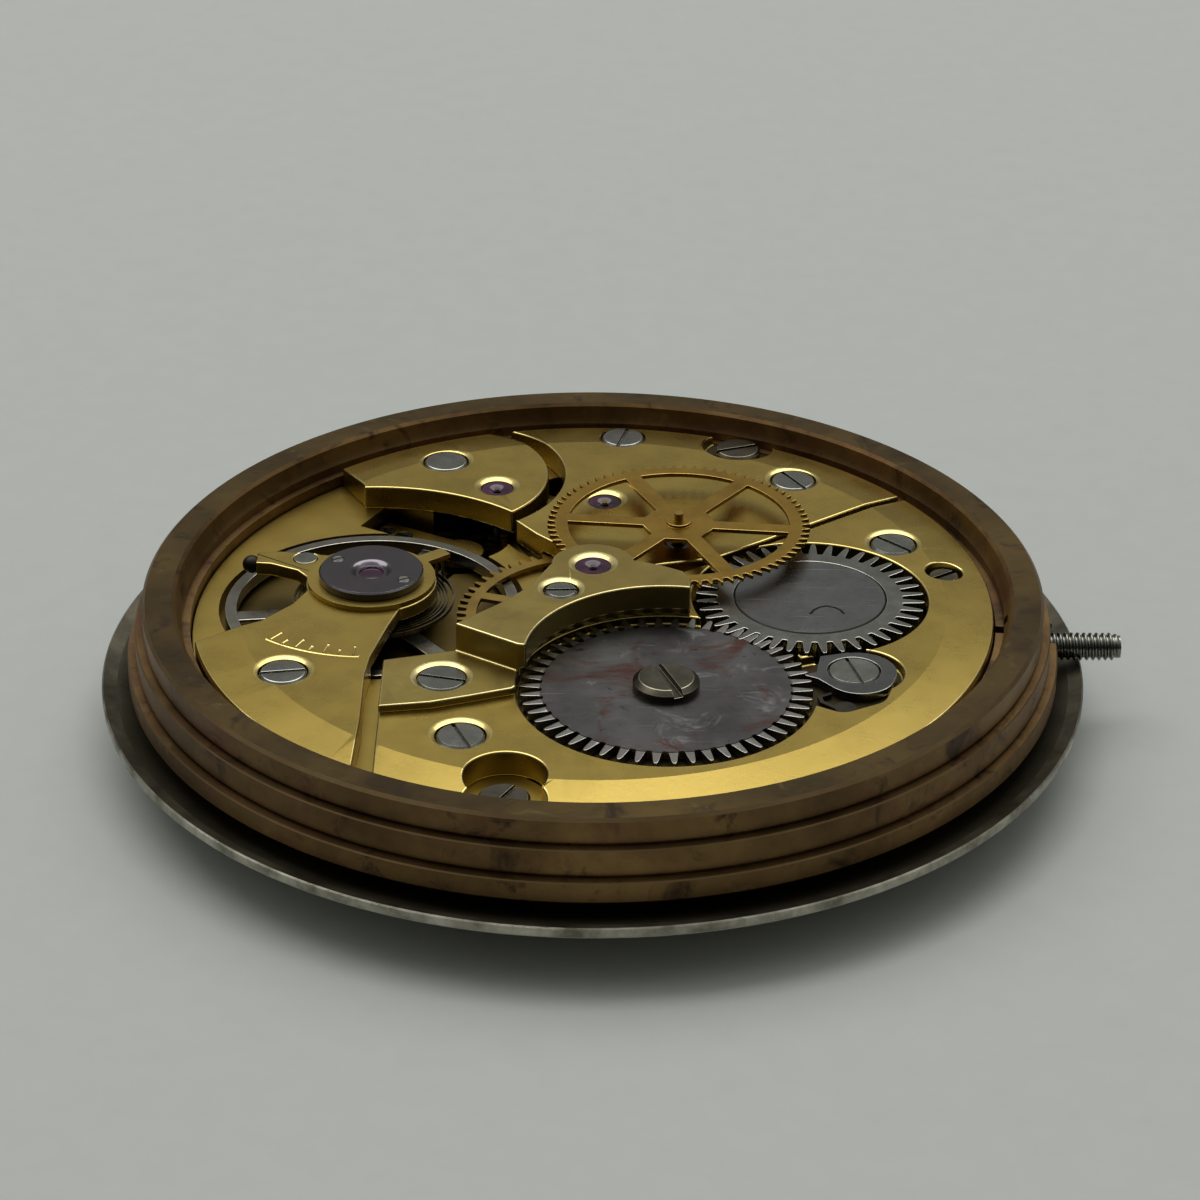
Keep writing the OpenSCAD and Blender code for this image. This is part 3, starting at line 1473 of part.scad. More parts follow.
module setting_screw()
    color(dark_steel)
        put(setting_screw_at) {
            disc(0.25, lever_z0 - 0.06, bridge_top - 0.4);
            translate([0, 0, bridge_top - 0.18])
                screw(1.0, 0.24, 0.5, 0.3, 35);
        }

module yoke()
    color(steel) {
        put(yoke_c)
            difference() {
                disc(0.7, lever_z0, lever_z0 + lever_t);
                disc(0.3 + run, 0, 5);
            }
        put(yoke_c, way(yoke_c, yoke_tip))
            bar(0.6, norm(yoke_tip - yoke_c), 0.5, lever_z0, lever_z0 + lever_t);
        put(yoke_tip)
            disc(0.22, lever_z0 + lever_t - 0.01, stem_z - 0.62);
    }

module setting_wheel()
    color(steel)
        put(setting_c)
            difference() {
                slab(0.64, 0.84)
                    gear_2d(setting_teeth, setting_r + 0.12, setting_r - 0.14, setting_turn);
                disc(0.3 + run, 0, 5);
            }

module minute_wheel()
    color(brass)
        put(minute_c)
            difference() {
                union() {
                    gear(minute_teeth, minute_pr, minute_turn, 0.7, 0.84);
                    gear(minute_leaves, minute_pinion_pr, minute_pinion_turn, 0.45, 0.71);
                }
                disc(0.25 + run, 0, 5);
            }

// The cover that keeps the setting wheel on its stud
module setting_cover()
    color(steel)
        slab(0.44, 0.55)
            cover_outline(0);

module cannon_pinion()
    color(steel)
        difference() {
            union() {
                gear(cannon_leaves, cannon_pr, cannon_turn, 0.66, 0.88);
                disc(minute_post_d/2, -minute_reach, -hour_reach);
                taper(minute_post_d/2, -hour_reach - 0.01);
                disc(minute_post_d/2 + post_step, taper_l - hour_reach - 0.02, 0.67);
            }
            disc(0.33, -5, 5);
        }

module hour_wheel()
    color(brass)
        difference() {
            union() {
                gear(hour_teeth, hour_pr, hour_turn, 0.46, 0.58);
                disc(hour_pipe_d/2, -hour_reach, 0.01);
                taper(hour_pipe_d/2, 0);
            }
            disc(minute_post_d/2 + post_step + run, -5, 5);
        }

casing_ring();
dial();
main_plate();
barrel_bridge();
train_bridge();
escape_bridge();
centre_bridge();
balance_cock();
pallet_bridge();
barrel_screws();
train_screws();
centre_screws();
cock_screws();
pallet_screws();
case_screws();
dial_screws();
ratchet_wheel();
ratchet_screw();
crown_wheel();
crown_core();
click();
click_screw();
click_spring();
barrel_drum();
barrel_cover();
barrel_arbor();
mainspring();
centre_wheel();
third_wheel();
drive_wheel();
fourth_wheel();
escape_wheel();
sweep_pinion();
sweep_spring();
pallet_fork();
pallet_stones();
balance_wheel();
balance_staff();
impulse_jewel();
hairspring();
hairspring_collet();
hairspring_stud();
stud_screw();
regulator_index();
cap_plate();
cap_screws();
cap_jewel();
upper_jewels();
lower_jewels();
winding_stem();
winding_pinion();
clutch();
setting_lever();
setting_screw();
yoke();
setting_wheel();
minute_wheel();
setting_cover();
cannon_pinion();
hour_wheel();
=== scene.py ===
import json
import math

import bmesh
import bpy
from mathutils import Matrix, Vector


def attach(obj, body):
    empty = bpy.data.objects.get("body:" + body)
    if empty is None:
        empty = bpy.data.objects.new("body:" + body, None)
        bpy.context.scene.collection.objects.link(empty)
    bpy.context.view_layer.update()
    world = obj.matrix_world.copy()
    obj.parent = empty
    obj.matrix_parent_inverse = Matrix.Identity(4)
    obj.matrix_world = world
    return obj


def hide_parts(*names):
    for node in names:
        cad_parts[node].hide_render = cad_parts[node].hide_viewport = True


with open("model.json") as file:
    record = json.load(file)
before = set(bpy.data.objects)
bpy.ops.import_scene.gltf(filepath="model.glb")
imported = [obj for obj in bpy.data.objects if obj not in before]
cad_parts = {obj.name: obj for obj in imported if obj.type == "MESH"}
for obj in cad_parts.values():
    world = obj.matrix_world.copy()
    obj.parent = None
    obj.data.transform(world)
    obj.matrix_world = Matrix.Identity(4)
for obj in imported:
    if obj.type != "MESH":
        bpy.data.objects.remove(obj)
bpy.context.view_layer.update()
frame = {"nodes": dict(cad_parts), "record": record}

# The look of a wristwatch movement in its casing ring, on the back of its dial. Shapes are written
# in millimetres in the frame of the CAD part: +Z is up and the winding stem lies along +X.

MM = 0.001
scene = bpy.context.scene


# ---------------------------------------------------------------- camera, as in the photograph
PHOTO_WIDTH = 1200
FOCAL_LENGTH = 3546.1          # in pixels of the photograph
SENSOR = 36
CAMERA_AT = (0.224, -99.904, 57.467)
CAMERA_DIP, CAMERA_ROLL = 28.459, -0.283


def camera():
    dip, roll = math.radians(CAMERA_DIP), math.radians(CAMERA_ROLL)
    back = Vector((0, -math.cos(dip), math.sin(dip)))
    right = Vector((1, 0, 0))
    up = back.cross(right)
    x_axis = math.cos(roll) * right - math.sin(roll) * up
    y_axis = math.sin(roll) * right + math.cos(roll) * up
    data = bpy.data.cameras.new("camera")
    data.sensor_width = SENSOR
    data.sensor_fit = "HORIZONTAL"
    data.lens = SENSOR * FOCAL_LENGTH / PHOTO_WIDTH
    data.clip_start = 0.005
    data.clip_end = 10
    cam = bpy.data.objects.new("camera", data)
    scene.collection.objects.link(cam)
    m = Matrix((x_axis, y_axis, back)).transposed().to_4x4()
    m.translation = Vector(CAMERA_AT) * MM
    cam.matrix_world = m
    scene.camera = cam


camera()

# ---------------------------------------------------------------- mesh kernel
SEGMENT = 0.09                 # usual length of one side of a round shape
ABOVE = 5                      # height over all bridges, where cutters end


def obj_from(bm):
    me = bpy.data.meshes.new("tmp")
    bm.normal_update()
    bm.to_mesh(me)
    bm.free()
    o = bpy.data.objects.new("tmp", me)
    scene.collection.objects.link(o)
    return o


def edit(o, change):
    """Hands an object's mesh to a function as a bmesh, and writes it back."""
    bm = bmesh.new()
    bm.from_mesh(o.data)
    change(bm)
    bm.to_mesh(o.data)
    bm.free()


def discard(o):
    me = o.data
    bpy.data.objects.remove(o)
    bpy.data.meshes.remove(me)


def bake(o, kind, **settings):
    """Applies one modifier to the mesh."""
    mod = o.modifiers.new("m", kind)
    for k, v in settings.items():
        setattr(mod, k, v)
    dg = bpy.context.evaluated_depsgraph_get()
    me = bpy.data.meshes.new_from_object(o.evaluated_get(dg))
    o.modifiers.clear()
    old = o.data
    o.data = me
    bpy.data.meshes.remove(old)


def loft(rings):
    """A closed skin over rings of points, from the first ring to the last."""
    bm = bmesh.new()
    rows = [[bm.verts.new(p) for p in ring] for ring in rings]
    n = len(rings[0])
    for a, b in zip(rows, rows[1:]):
        for i in range(n):
            j = (i + 1) % n
            bm.faces.new((a[i], a[j], b[j], b[i]))
    bm.faces.new(list(reversed(rows[0])))
    bm.faces.new(rows[-1])
    bmesh.ops.recalc_face_normals(bm, faces=bm.faces)
    return obj_from(bm)


def circle(r, n, c, z):
    turns = [2 * math.pi * i / n for i in range(n)]
    return [(c[0] + r * math.cos(a), c[1] + r * math.sin(a), z) for a in turns]


def segs(r):
    return max(24, min(256, int(2 * math.pi * r / SEGMENT)))


def cyl(c, r, z0, z1, r1=None, n=None):
    """A cylinder, or a cone that ends with radius r1."""
    n = n or segs(r)
    return loft([circle(r, n, c, z0), circle(r if r1 is None else r1, n, c, z1)])


def hole(c, r, z0=0, n=None):
    """A cutter for a round hole or recess that is open at the top."""
    return cyl(c, r, z0, ABOVE, n=n)


def prism(pts, z0, z1):
    return loft([[(x, y, z0) for x, y in pts], [(x, y, z1) for x, y in pts]])


def block(x0, x1, y0, y1, z0, z1):
    return prism([(x0, y0), (x1, y0), (x1, y1), (x0, y1)], z0, z1)


def lathe(profile, c=(0, 0), n=None):
    """A turned shape from a closed outline of (r, z); points at r = 0 lie on the axis."""
    n = n or segs(max(r for r, _ in profile))
    bm = bmesh.new()
    rows = [[bm.verts.new(p) for p in (circle(r, n, c, z) if r > 1e-6 else [(c[0], c[1], z)])]
            for r, z in profile]
    for a, b in zip(rows, rows[1:] + rows[:1]):
        if len(a) == len(b) == 1:
            continue
        for i in range(n):
            j = (i + 1) % n
            if len(a) == 1:
                bm.faces.new((a[0], b[j], b[i]))
            elif len(b) == 1:
                bm.faces.new((a[i], a[j], b[0]))
            else:
                bm.faces.new((a[i], a[j], b[j], b[i]))
    bmesh.ops.recalc_face_normals(bm, faces=bm.faces)
    return obj_from(bm)


def moved(o, m):
    o.data.transform(m)
    return o


def put(o, c=(0, 0), a=0.0, z=0.0):
    """Turns a shape by a degrees about its axis and sets it at c."""
    return moved(o, Matrix.Translation((c[0], c[1], z)) @ Matrix.Rotation(math.radians(a), 4, "Z"))


def to_x(o, z):
    """Turns a part built along +Z so that it lies along +X at height z."""
    return moved(o, Matrix.Translation((0, 0, z)) @ Matrix.Rotation(math.radians(90), 4, "Y"))


def boolean(a, others, op):
    for b in others:
        bake(a, "BOOLEAN", operation=op, solver="MANIFOLD", object=b)
        discard(b)
    return a


def cut(a, *tools):
    return boolean(a, tools, "DIFFERENCE")


def union(a, *others):
    return boolean(a, others, "UNION")


def common(a, b):
    return boolean(a, [b], "INTERSECT")


def merge(*objs):
    """Several closed shells in one object, not joined."""
    bm = bmesh.new()
    for o in objs:
        bm.from_mesh(o.data)
        discard(o)
    return obj_from(bm)


def soften(pts, r):
    """Rounds every corner of an outline with a curve of about that radius."""
    steps = 5
    out = []
    for i, corner in enumerate(pts):
        p = Vector(corner)
        a = Vector(pts[i - 1]) - p
        b = Vector(pts[(i + 1) % len(pts)]) - p
        d = min(r, a.length * 0.45, b.length * 0.45)
        s, e = p + a.normalized() * d, p + b.normalized() * d
        for k in range(steps + 1):
            t = k / steps
            q = s * (1 - t) ** 2 + p * 2 * t * (1 - t) + e * t * t
            out.append((q.x, q.y))
    return out


def groove(pts, w, depth, z):
    """A cutter for a V groove along an open path in the plane z."""
    rings = []
    for i, (x, y) in enumerate(pts):
        a, b = Vector(pts[max(i - 1, 0)]), Vector(pts[min(i + 1, len(pts) - 1)])
        d = (b - a).normalized()
        n = Vector((-d.y, d.x)) * (w / 2)
        rings.append([(x - n.x, y - n.y, z), (x, y, z - depth), (x + n.x, y + n.y, z),
                      (x, y, z + depth)])
    return loft(rings)


def arms(hub, count, length, width, turn, z0, z1):
    """A round hub with straight arms, the first one at turn degrees."""
    o = cyl((0, 0), hub, z0, z1)
    for k in range(count):
        arm = block(0, length, -width / 2, width / 2, z0, z1)
        o = union(o, put(arm, a=turn + k * 360 / count))
    return o


def way(a, b):
    """Direction from a to b in degrees."""
    return math.degrees(math.atan2(b[1] - a[1], b[0] - a[0]))


def at(c, r, a):
    """The point at distance r from c, in direction a."""
    return (c[0] + r * math.cos(math.radians(a)), c[1] + r * math.sin(math.radians(a)))


# ---------------------------------------------------------------- finishing a piece
MATS = {}
SINKS = []                     # circles (centre, radius) on the next piece whose edges stay sharp
SLOT = {s["node"]: s["material_slot"] for s in frame["record"].get("subparts", [])}
WELD = 2e-4                    # points closer than this become one
STEEP = 60                     # where only edges steeper than this are rounded, none is clamped
LEVEL = 0.985                  # upward part of the normal of a face that counts as level


def weld(bm):
    bmesh.ops.remove_doubles(bm, verts=bm.verts, dist=WELD)
    bmesh.ops.dissolve_degenerate(bm, edges=bm.edges, dist=WELD)


def weld_flats(bm):
    weld(bm)
    bmesh.ops.dissolve_limit(bm, angle_limit=math.radians(0.06), verts=bm.verts, edges=bm.edges)


def bevel_edges(o, width, seg, angle, slot):
    """Rounds the edges that turn by more than angle, outside the sinks, in their own material."""
    def weigh(bm):
        weight = bm.edges.layers.float.new("bevel_weight_edge")
        for e in bm.edges:
            worn_and_lit = len(e.link_faces) == 2 and math.degrees(e.calc_face_angle(0.0)) > angle
            kept = any(all((v.co.xy - Vector(c)).length < r for v in e.verts) for c, r in SINKS)
            e[weight] = 1.0 if worn_and_lit and not kept else 0.0
    edit(o, weigh)
    # The bevels take the last slot, which holds the lighter edge material where a piece has one: a
    # painted highlight.
    bake(o, "BEVEL", material=slot, width=width, segments=seg, limit_method="WEIGHT",
         use_clamp_overlap=angle < STEEP, miter_outer="MITER_ARC")


def shade(o, smooth, paint):
    """Smooth faces between sharp edges, and the material of each face."""
    def mark(bm):
        for f in bm.faces:
            f.smooth = True
            if paint and not f.material_index:
                f.material_index = paint(f.calc_center_median(), f.normal)
        for e in bm.edges:
            if len(e.link_faces) == 2:
                level = all(abs(f.normal.z) > LEVEL for f in e.link_faces)
                e.smooth = math.degrees(e.calc_face_angle(0.0)) < (3 if level else smooth)
    edit(o, mark)
    bake(o, "WEIGHTED_NORMAL", mode="FACE_AREA", weight=50, keep_sharp=True)


def piece(o, name, mat, body, nodes=(), bevel=0.02, seg=2, angle=30, slot=None, smooth=35,
          paint=None):
    """Finishes a piece: mesh, bevels, materials, metres, and the body that it rides on.

    mat is one material, whose _edge variant goes on the bevels, or a list for all slots. paint
    picks the slot of a face from its centre and normal.
    """
    o.name = name
    edit(o, weld_flats if bevel else weld)
    if isinstance(mat, str):
        mat = [mat, mat + "_edge"] if mat + "_edge" in MATS else [mat]
    o.data.materials.clear()
    for m in mat:
        o.data.materials.append(MATS[m])
    if bevel:
        bevel_edges(o, bevel, seg, angle, len(mat) - 1)
    SINKS.clear()
    shade(o, smooth, paint)
    o.data.name = name
    o.data.transform(Matrix.Scale(MM, 4))
    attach(o, body)
    if nodes:
        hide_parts(*nodes)
        slot = slot or SLOT.get(nodes[0])


# ---------------------------------------------------------------- materials
class Graph:
    """The shader nodes of a material or a world; coord is the coordinate that drives them."""

    def __init__(self, owner, coord="Object"):
        owner.use_nodes = True
        self.links = owner.node_tree.links
        self.nodes = owner.node_tree.nodes
        self.coord = self.node("TexCoord").outputs[coord]

    def node(self, kind, **settings):
        made = self.nodes.new("ShaderNode" + kind)
        for k, v in settings.items():
            setattr(made, k, v)
        return made

    def feed(self, node, **inputs):
        """Sets sockets to numbers or colours, or links them; _ stands for a space in a name."""
        for name, value in inputs.items():
            socket = node.inputs[name.replace("_", " ")]
            if isinstance(value, (int, float)):
                socket.default_value = value
            elif isinstance(value, tuple):
                socket.default_value = (*value, 1) if socket.type == "RGBA" else value
            elif value is not None:
                self.links.new(value, socket)
        return node.outputs[0]

    def mapped(self, **inputs):
        return self.feed(self.node("Mapping"), Vector=self.coord, **inputs)

    def noise(self, scale, detail=4, rough=0.55, vec=None, distortion=0.0):
        t = self.node("TexNoise")
        self.feed(t, Scale=scale, Detail=detail, Roughness=rough, Distortion=distortion,
                  Vector=vec or self.coord)
        return t.outputs["Fac"]

    def ramp(self, fac, stops):
        r = self.node("ValToRGB")
        els = r.color_ramp.elements
        while len(els) < len(stops):
            els.new(0.5)
        for el, (p, c) in zip(els, stops):
            el.position = p
            el.color = (c, c, c, 1) if isinstance(c, (int, float)) else (*c, 1)
        self.feed(r, Fac=fac)
        return r.outputs["Color"]

    def mix(self, fac, a, b, mode="MIX"):
        m = self.node("Mix", data_type="RGBA", blend_type=mode)
        self.feed(m, Factor=fac, A=a, B=b)
        return m.outputs["Result"]

    def math(self, op, a, b):
        m = self.node("Math", operation=op)
        for socket, value in zip(m.inputs, (a, b)):
            if isinstance(value, (int, float)):
                socket.default_value = value
            else:
                self.links.new(value, socket)
        return m.outputs["Value"]

    def bump(self, height, strength, distance, normal=None):
        return self.feed(self.node("Bump"), Strength=strength, Distance=distance, Height=height,
                         Normal=normal)

    def axis(self, name):
        axes = self.node("SeparateXYZ")
        self.feed(axes, Vector=self.coord)
        return axes.outputs[name]

    def span(self, value, low, high):
        """0 where the value is low and 1 where it is high."""
        return self.feed(self.node("MapRange"), From_Min=low, From_Max=high, Value=value)

    def beyond(self, centre, radius):
        """1 outside a circle about a vertical axis, in millimetres, and 0 inside it."""
        flat = self.mapped(Location=(-centre[0] * MM, -centre[1] * MM, 0), Scale=(1, 1, 0))
        length = self.node("VectorMath", operation="LENGTH")
        self.feed(length, Vector=flat)
        return self.math("GREATER_THAN", length.outputs["Value"], radius * MM)


def material(name, build):
    """Makes a material; build gets its graph and returns the sockets of its surface."""
    mat = bpy.data.materials.new(name)
    graph = Graph(mat)
    graph.feed(graph.nodes["Principled BSDF"], **build(graph))
    MATS[name] = mat


GRAIN = 5200                   # scale of the finest noise on metal
SCRATCHES = ((0.4, 1.0), (1.9, 1.3), (2.7, 0.8))      # direction and fineness of each set


def scratches(g):
    lines = None
    for turn, fine in SCRATCHES:
        vec = g.mapped(Scale=(300 * fine, 9000 * fine, 300), Rotation=(0, 0, turn))
        one = g.ramp(g.noise(1.0, 2, 0.5, vec), [(0.68, 0.0), (0.74, 1.0)])
        lines = one if lines is None else g.mix(1.0, lines, one, "LIGHTEN")
    return lines


def satin(name, light, dark, rough=0.34, spread=0.08, patch=350, bump=0.12, scratch=0.0, edge=None,
          spots=(), metallic=1.0, band=None, marks=0.0, deep=None):
    """Worn metal: patches of two tones, fine grain, and roughness that varies by spread.

    spots are (tint, start, width, scale) of mottling, band is (centre, radius, tint) of a painted
    highlight, another tone outside a circle, deep is (z0, z1, tint) of a painted shade, the tone
    low down. marks are small dents, scratch adds hairlines, and edge makes a second, lighter
    material for worn edges, a painted highlight.
    """
    def build(g):
        color = g.mix(g.ramp(g.noise(patch, 5, 0.6), [(0.34, 0.0), (0.68, 1.0)]), dark, light)
        for tint, start, width, scale in spots:
            mottling = g.noise(scale, 7, 0.68, distortion=0.8)
            color = g.mix(g.ramp(mottling, [(start, 0.0), (start + width, 1.0)]), color, tint)
        # band paints a lighter tone outside a circle: a painted highlight.
        if band:
            centre, radius, tint = band
            color = g.mix(g.beyond(centre, radius), color, tint)
        # A darker tone low down: painted shade.
        if deep:
            z0, z1, tint = deep
            color = g.mix(g.span(g.axis("Z"), z0 * MM, z1 * MM), tint, color)
        vary = g.math("MULTIPLY", g.noise(patch * 2.3, 4, 0.6), spread * 2)
        roughness = g.math("ADD", vary, rough - spread)
        normal = g.bump(g.noise(GRAIN, 3, 0.6), bump, 0.000012)
        if marks:
            dents = g.ramp(g.noise(patch * 4, 5, 0.7), [(0.36, 0.0), (0.46, 1.0)])
            normal = g.bump(dents, marks, 0.00002, normal)
        if scratch:
            lines = scratches(g)
            roughness = g.math("ADD", roughness, g.math("MULTIPLY", lines, scratch))
            normal = g.bump(lines, 0.2, 0.000006, normal)
            bright = tuple(min(1, c * 1.4) for c in light)
            color = g.mix(g.math("MULTIPLY", lines, 0.22), color, bright)
        return {"Base_Color": color, "Roughness": roughness, "Normal": normal,
                "Metallic": metallic}
    material(name, build)
    # The edge material is lighter than the metal: a painted highlight on the worn bevels.
    if edge:
        worn_and_lit = tuple((a + b) / 2 for a, b in zip(edge, dark))
        satin(name + "_edge", edge, worn_and_lit, max(0.18, rough - 0.06), spread / 2, patch * 2, bump,
              metallic=metallic)


BARREL, CROWN = (2.26, -5.86), (6.95, 0.0)

satin("gilt", (0.50, 0.365, 0.088), (0.42, 0.30, 0.068), rough=0.28, patch=260,
      edge=(0.86, 0.70, 0.27), spots=[((0.36, 0.26, 0.062), 0.60, 0.25, 300)])
# The main plate's gilt turns dark towards its lower floors: painted shade.
satin("gilt_plate", (0.50, 0.365, 0.088), (0.42, 0.30, 0.068), rough=0.30, patch=260,
      deep=(2.0, 2.6, (0.10, 0.066, 0.018)))
# A dark tone for the floors of recesses: painted shade.
satin("recess", (0.055, 0.042, 0.018), (0.028, 0.02, 0.01), rough=0.5, patch=500)
satin("gilt_olive", (0.37, 0.28, 0.082), (0.29, 0.215, 0.06), rough=0.33, marks=0.06,
      edge=(0.82, 0.70, 0.33), spots=[((0.22, 0.165, 0.055), 0.54, 0.25, 480)])
satin("gilt_drive", (0.43, 0.265, 0.042), (0.31, 0.18, 0.028), rough=0.29, patch=600,
      edge=(0.72, 0.50, 0.15), spots=[((0.26, 0.14, 0.03), 0.58, 0.2, 900)])
satin("gilt_wheel", (0.44, 0.30, 0.075), (0.32, 0.205, 0.048), rough=0.3, patch=700)
satin("brass_dark", (0.28, 0.20, 0.065), (0.17, 0.115, 0.038), rough=0.38, patch=600)
satin("bronze", (0.235, 0.142, 0.052), (0.095, 0.054, 0.020), rough=0.46, patch=230, bump=0.3,
      marks=0.2, metallic=0.85, edge=(0.20, 0.135, 0.062),
      spots=[((0.125, 0.052, 0.028), 0.50, 0.22, 330), ((0.27, 0.185, 0.08), 0.60, 0.2, 800),
             ((0.05, 0.03, 0.016), 0.55, 0.12, 620)])
# bronze_top is a darker tone for the ring's top face: painted shade.
satin("bronze_top", (0.100, 0.064, 0.018), (0.036, 0.022, 0.006), rough=0.46, patch=260, bump=0.3,
      marks=0.2, metallic=0.85,
      spots=[((0.15, 0.11, 0.05), 0.60, 0.2, 600), ((0.03, 0.018, 0.009), 0.55, 0.12, 700)])
# Beyond the tooth roots the ratchet is lighter: a painted highlight on the tooth tops. The spots
# are real wear and rust.
satin("steel_worn", (0.160, 0.157, 0.152), (0.075, 0.072, 0.072), rough=0.31, patch=380,
      scratch=0.08, marks=0.07, edge=(0.44, 0.42, 0.38), band=(BARREL, 3.87, (0.26, 0.25, 0.225)),
      spots=[((0.26, 0.255, 0.25), 0.58, 0.1, 620), ((0.11, 0.048, 0.038), 0.545, 0.1, 380),
             ((0.045, 0.03, 0.028), 0.63, 0.05, 1900)])
satin("steel_core", (0.18, 0.18, 0.175), (0.15, 0.15, 0.148), rough=0.28, patch=500, scratch=0.06)
satin("steel_click", (0.145, 0.145, 0.14), (0.11, 0.11, 0.108), rough=0.28, patch=500,
      edge=(0.36, 0.36, 0.34))
satin("steel", (0.27, 0.27, 0.24), (0.19, 0.19, 0.17), rough=0.26, patch=900,
      edge=(0.55, 0.54, 0.48))
satin("steel_dark", (0.125, 0.112, 0.082), (0.065, 0.058, 0.042), rough=0.30, patch=900,
      edge=(0.38, 0.34, 0.25))
satin("steel_polished", (0.175, 0.16, 0.175), (0.15, 0.138, 0.15), rough=0.13, spread=0.03,
      patch=900, bump=0.04, edge=(0.5, 0.48, 0.48))
satin("steel_bright", (0.48, 0.47, 0.43), (0.34, 0.33, 0.30), rough=0.24, patch=900,
      edge=(0.74, 0.73, 0.68))
# steel_pit is near-black steel: painted shade for parts that lie in dark pits.
satin("steel_pit", (0.05, 0.044, 0.034), (0.025, 0.022, 0.018), rough=0.45, patch=900)
satin("balance_steel", (0.31, 0.295, 0.245), (0.20, 0.19, 0.155), rough=0.24, patch=900,
      edge=(0.66, 0.64, 0.55))
satin("silver_edge", (0.54, 0.52, 0.43), (0.15, 0.14, 0.105), rough=0.36, patch=800, marks=0.25,
      scratch=0.1)
satin("dial_back", (0.080, 0.070, 0.042), (0.042, 0.036, 0.021), rough=0.45, patch=300, marks=0.2,
      metallic=0.7, spots=[((0.045, 0.038, 0.026), 0.55, 0.2, 700)])
# dial_rim is a lighter tone for the outer band of the dial's back: painted light.
satin("dial_rim", (0.15, 0.133, 0.09), (0.045, 0.039, 0.026), rough=0.42, patch=700, marks=0.2,
      metallic=0.7)
satin("dial_front", (0.66, 0.65, 0.60), (0.58, 0.565, 0.51), rough=0.36, patch=160, bump=0.06,
      metallic=0.55, spots=[((0.42, 0.38, 0.28), 0.66, 0.2, 260)])
satin("print_black", (0.03, 0.03, 0.03), (0.02, 0.02, 0.02), rough=0.4, patch=900, metallic=0.0)
satin("spring", (0.24, 0.21, 0.15), (0.10, 0.09, 0.07), rough=0.28, patch=1500)


def ruby(g):
    shades = [(0.3, (0.02, 0.004, 0.014)), (0.7, (0.07, 0.014, 0.045))]
    return {"Base_Color": g.ramp(g.noise(1500, 3, 0.5), shades), "Roughness": 0.1,
            "Metallic": 0.0, "IOR": 1.5}


material("ruby", ruby)

# ---------------------------------------------------------------- sizes, as in the CAD source
SEAT, TOP, CTOP = 2.62, 3.45, 4.66        # underside and top of the bridges, top of the raised one
FOOT_T = 0.27                             # thickness of the raised bridge's foot
R_MOVE = 12.8                             # radius of the movement
AXIS = (0, 0)
THIRD, FOURTH, ESCAPE = (2.80, 3.86), (0.37, 6.93), (-3.29, 7.89)
BALANCE, CLICK = (-7.15, 0.95), (8.08, -4.72)
STEM_Z = 1.7

RATCHET_TEETH, CROWN_TEETH = 50, 40
CENTRES = 7.50583                         # from the barrel's axis to the crown wheel's
R_PR = CENTRES * RATCHET_TEETH / (RATCHET_TEETH + CROWN_TEETH)
C_PR = CENTRES * CROWN_TEETH / (RATCHET_TEETH + CROWN_TEETH)
WIND_TOP, RATCHET_T, CROWN_T = 3.47, 0.28, 0.59
WELL = 0.44                               # from a winding wheel's pitch circle to its recess
RECESS, CROWN_FLOOR = 3.15, 2.84          # floors of the recesses of ratchet and crown wheel

CENTRE_WELL, CENTRE_ROOF = 4.49, 2.88     # room of the centre wheel under the bridges
BORE, SINK = 0.36, 0.19                   # radius of a screw's hole, and width of its sink
JEWEL = 0.56                              # radius of a jewel's hole

BARREL_SCREWS = (-3.93, -8.63), (9.89, 3.87)
TRAIN_SCREWS = (1.0, 11.87), (6.8, 8.55)
FOOT_SCREW, CENTRE_SCREW = (-4.61, -5.66), (-1.0, -1.68)
COCK_SCREW, ESCAPE_SCREW, LEVER_SCREW = (-9.54, -4.84), (-5.11, 9.88), (11.4, 1.9)
CASE_SCREWS = [at(AXIS, 12.25, a) for a in (66, 258)]

STUD = at(BALANCE, 2.74, 145)             # the post that holds the hairspring's outer end
HS_Z, COCK_UNDER = 2.74, 3.0              # foot of the hairspring, and the cock over the balance


def teeth(n, tip, root, turn, crest, foot):
    """Outline of a wheel with rounded teeth; crest and foot are widths as shares of the pitch."""
    half = (crest + foot) / 2 * 0.96, root + (tip - root) * 0.45
    shoulder = tip - (tip - root) * 0.16
    row = [(-foot, root), (-half[0], half[1]), (-crest, shoulder), (-crest * 0.5, tip),
           (crest * 0.5, tip), (crest, shoulder), half, (foot, root)]
    return [at(AXIS, r, turn + (i + s / 2) * 360 / n) for i in range(n) for s, r in row]


def screw(head_d, head_h, shank_d, reach, slot_turn, slot_w=0.16, slot_d=0.12):
    """A screw whose head's top is at z = 0."""
    r, rounding = head_d / 2, head_h / 4
    o = lathe([(0, -reach), (shank_d / 2, -reach), (shank_d / 2, -head_h), (r, -head_h),
               (r, -rounding), (r - rounding, 0), (0, 0)], n=64)
    if slot_w:
        o = cut(o, put(block(-head_d, head_d, -slot_w / 2, slot_w / 2, -slot_d, 1), a=slot_turn))
    return o


def screw_hole(o, c, top, head_d=1.5, head_h=0.34):
    """Cuts a screw's hole, the room of its head and a polished sink."""
    r = head_d / 2 + 0.04
    SINKS.append((c, r + SINK + 0.01))
    return cut(o, cyl(c, BORE, 0, top + 1), cyl(c, r, top - head_h, top + 1),
               cyl(c, r, top - 0.09, top + 0.01, r1=r + SINK, n=64))


def jewel_seat(o, c):
    """Cuts a jewel's hole and its polished sink."""
    SINKS.append((c, 0.8))
    return cut(o, cyl(c, JEWEL, RECESS, TOP + 1), cyl(c, 0.3, 0, TOP),
               cyl(c, JEWEL, TOP - 0.11, TOP + 0.01, r1=0.79, n=64))


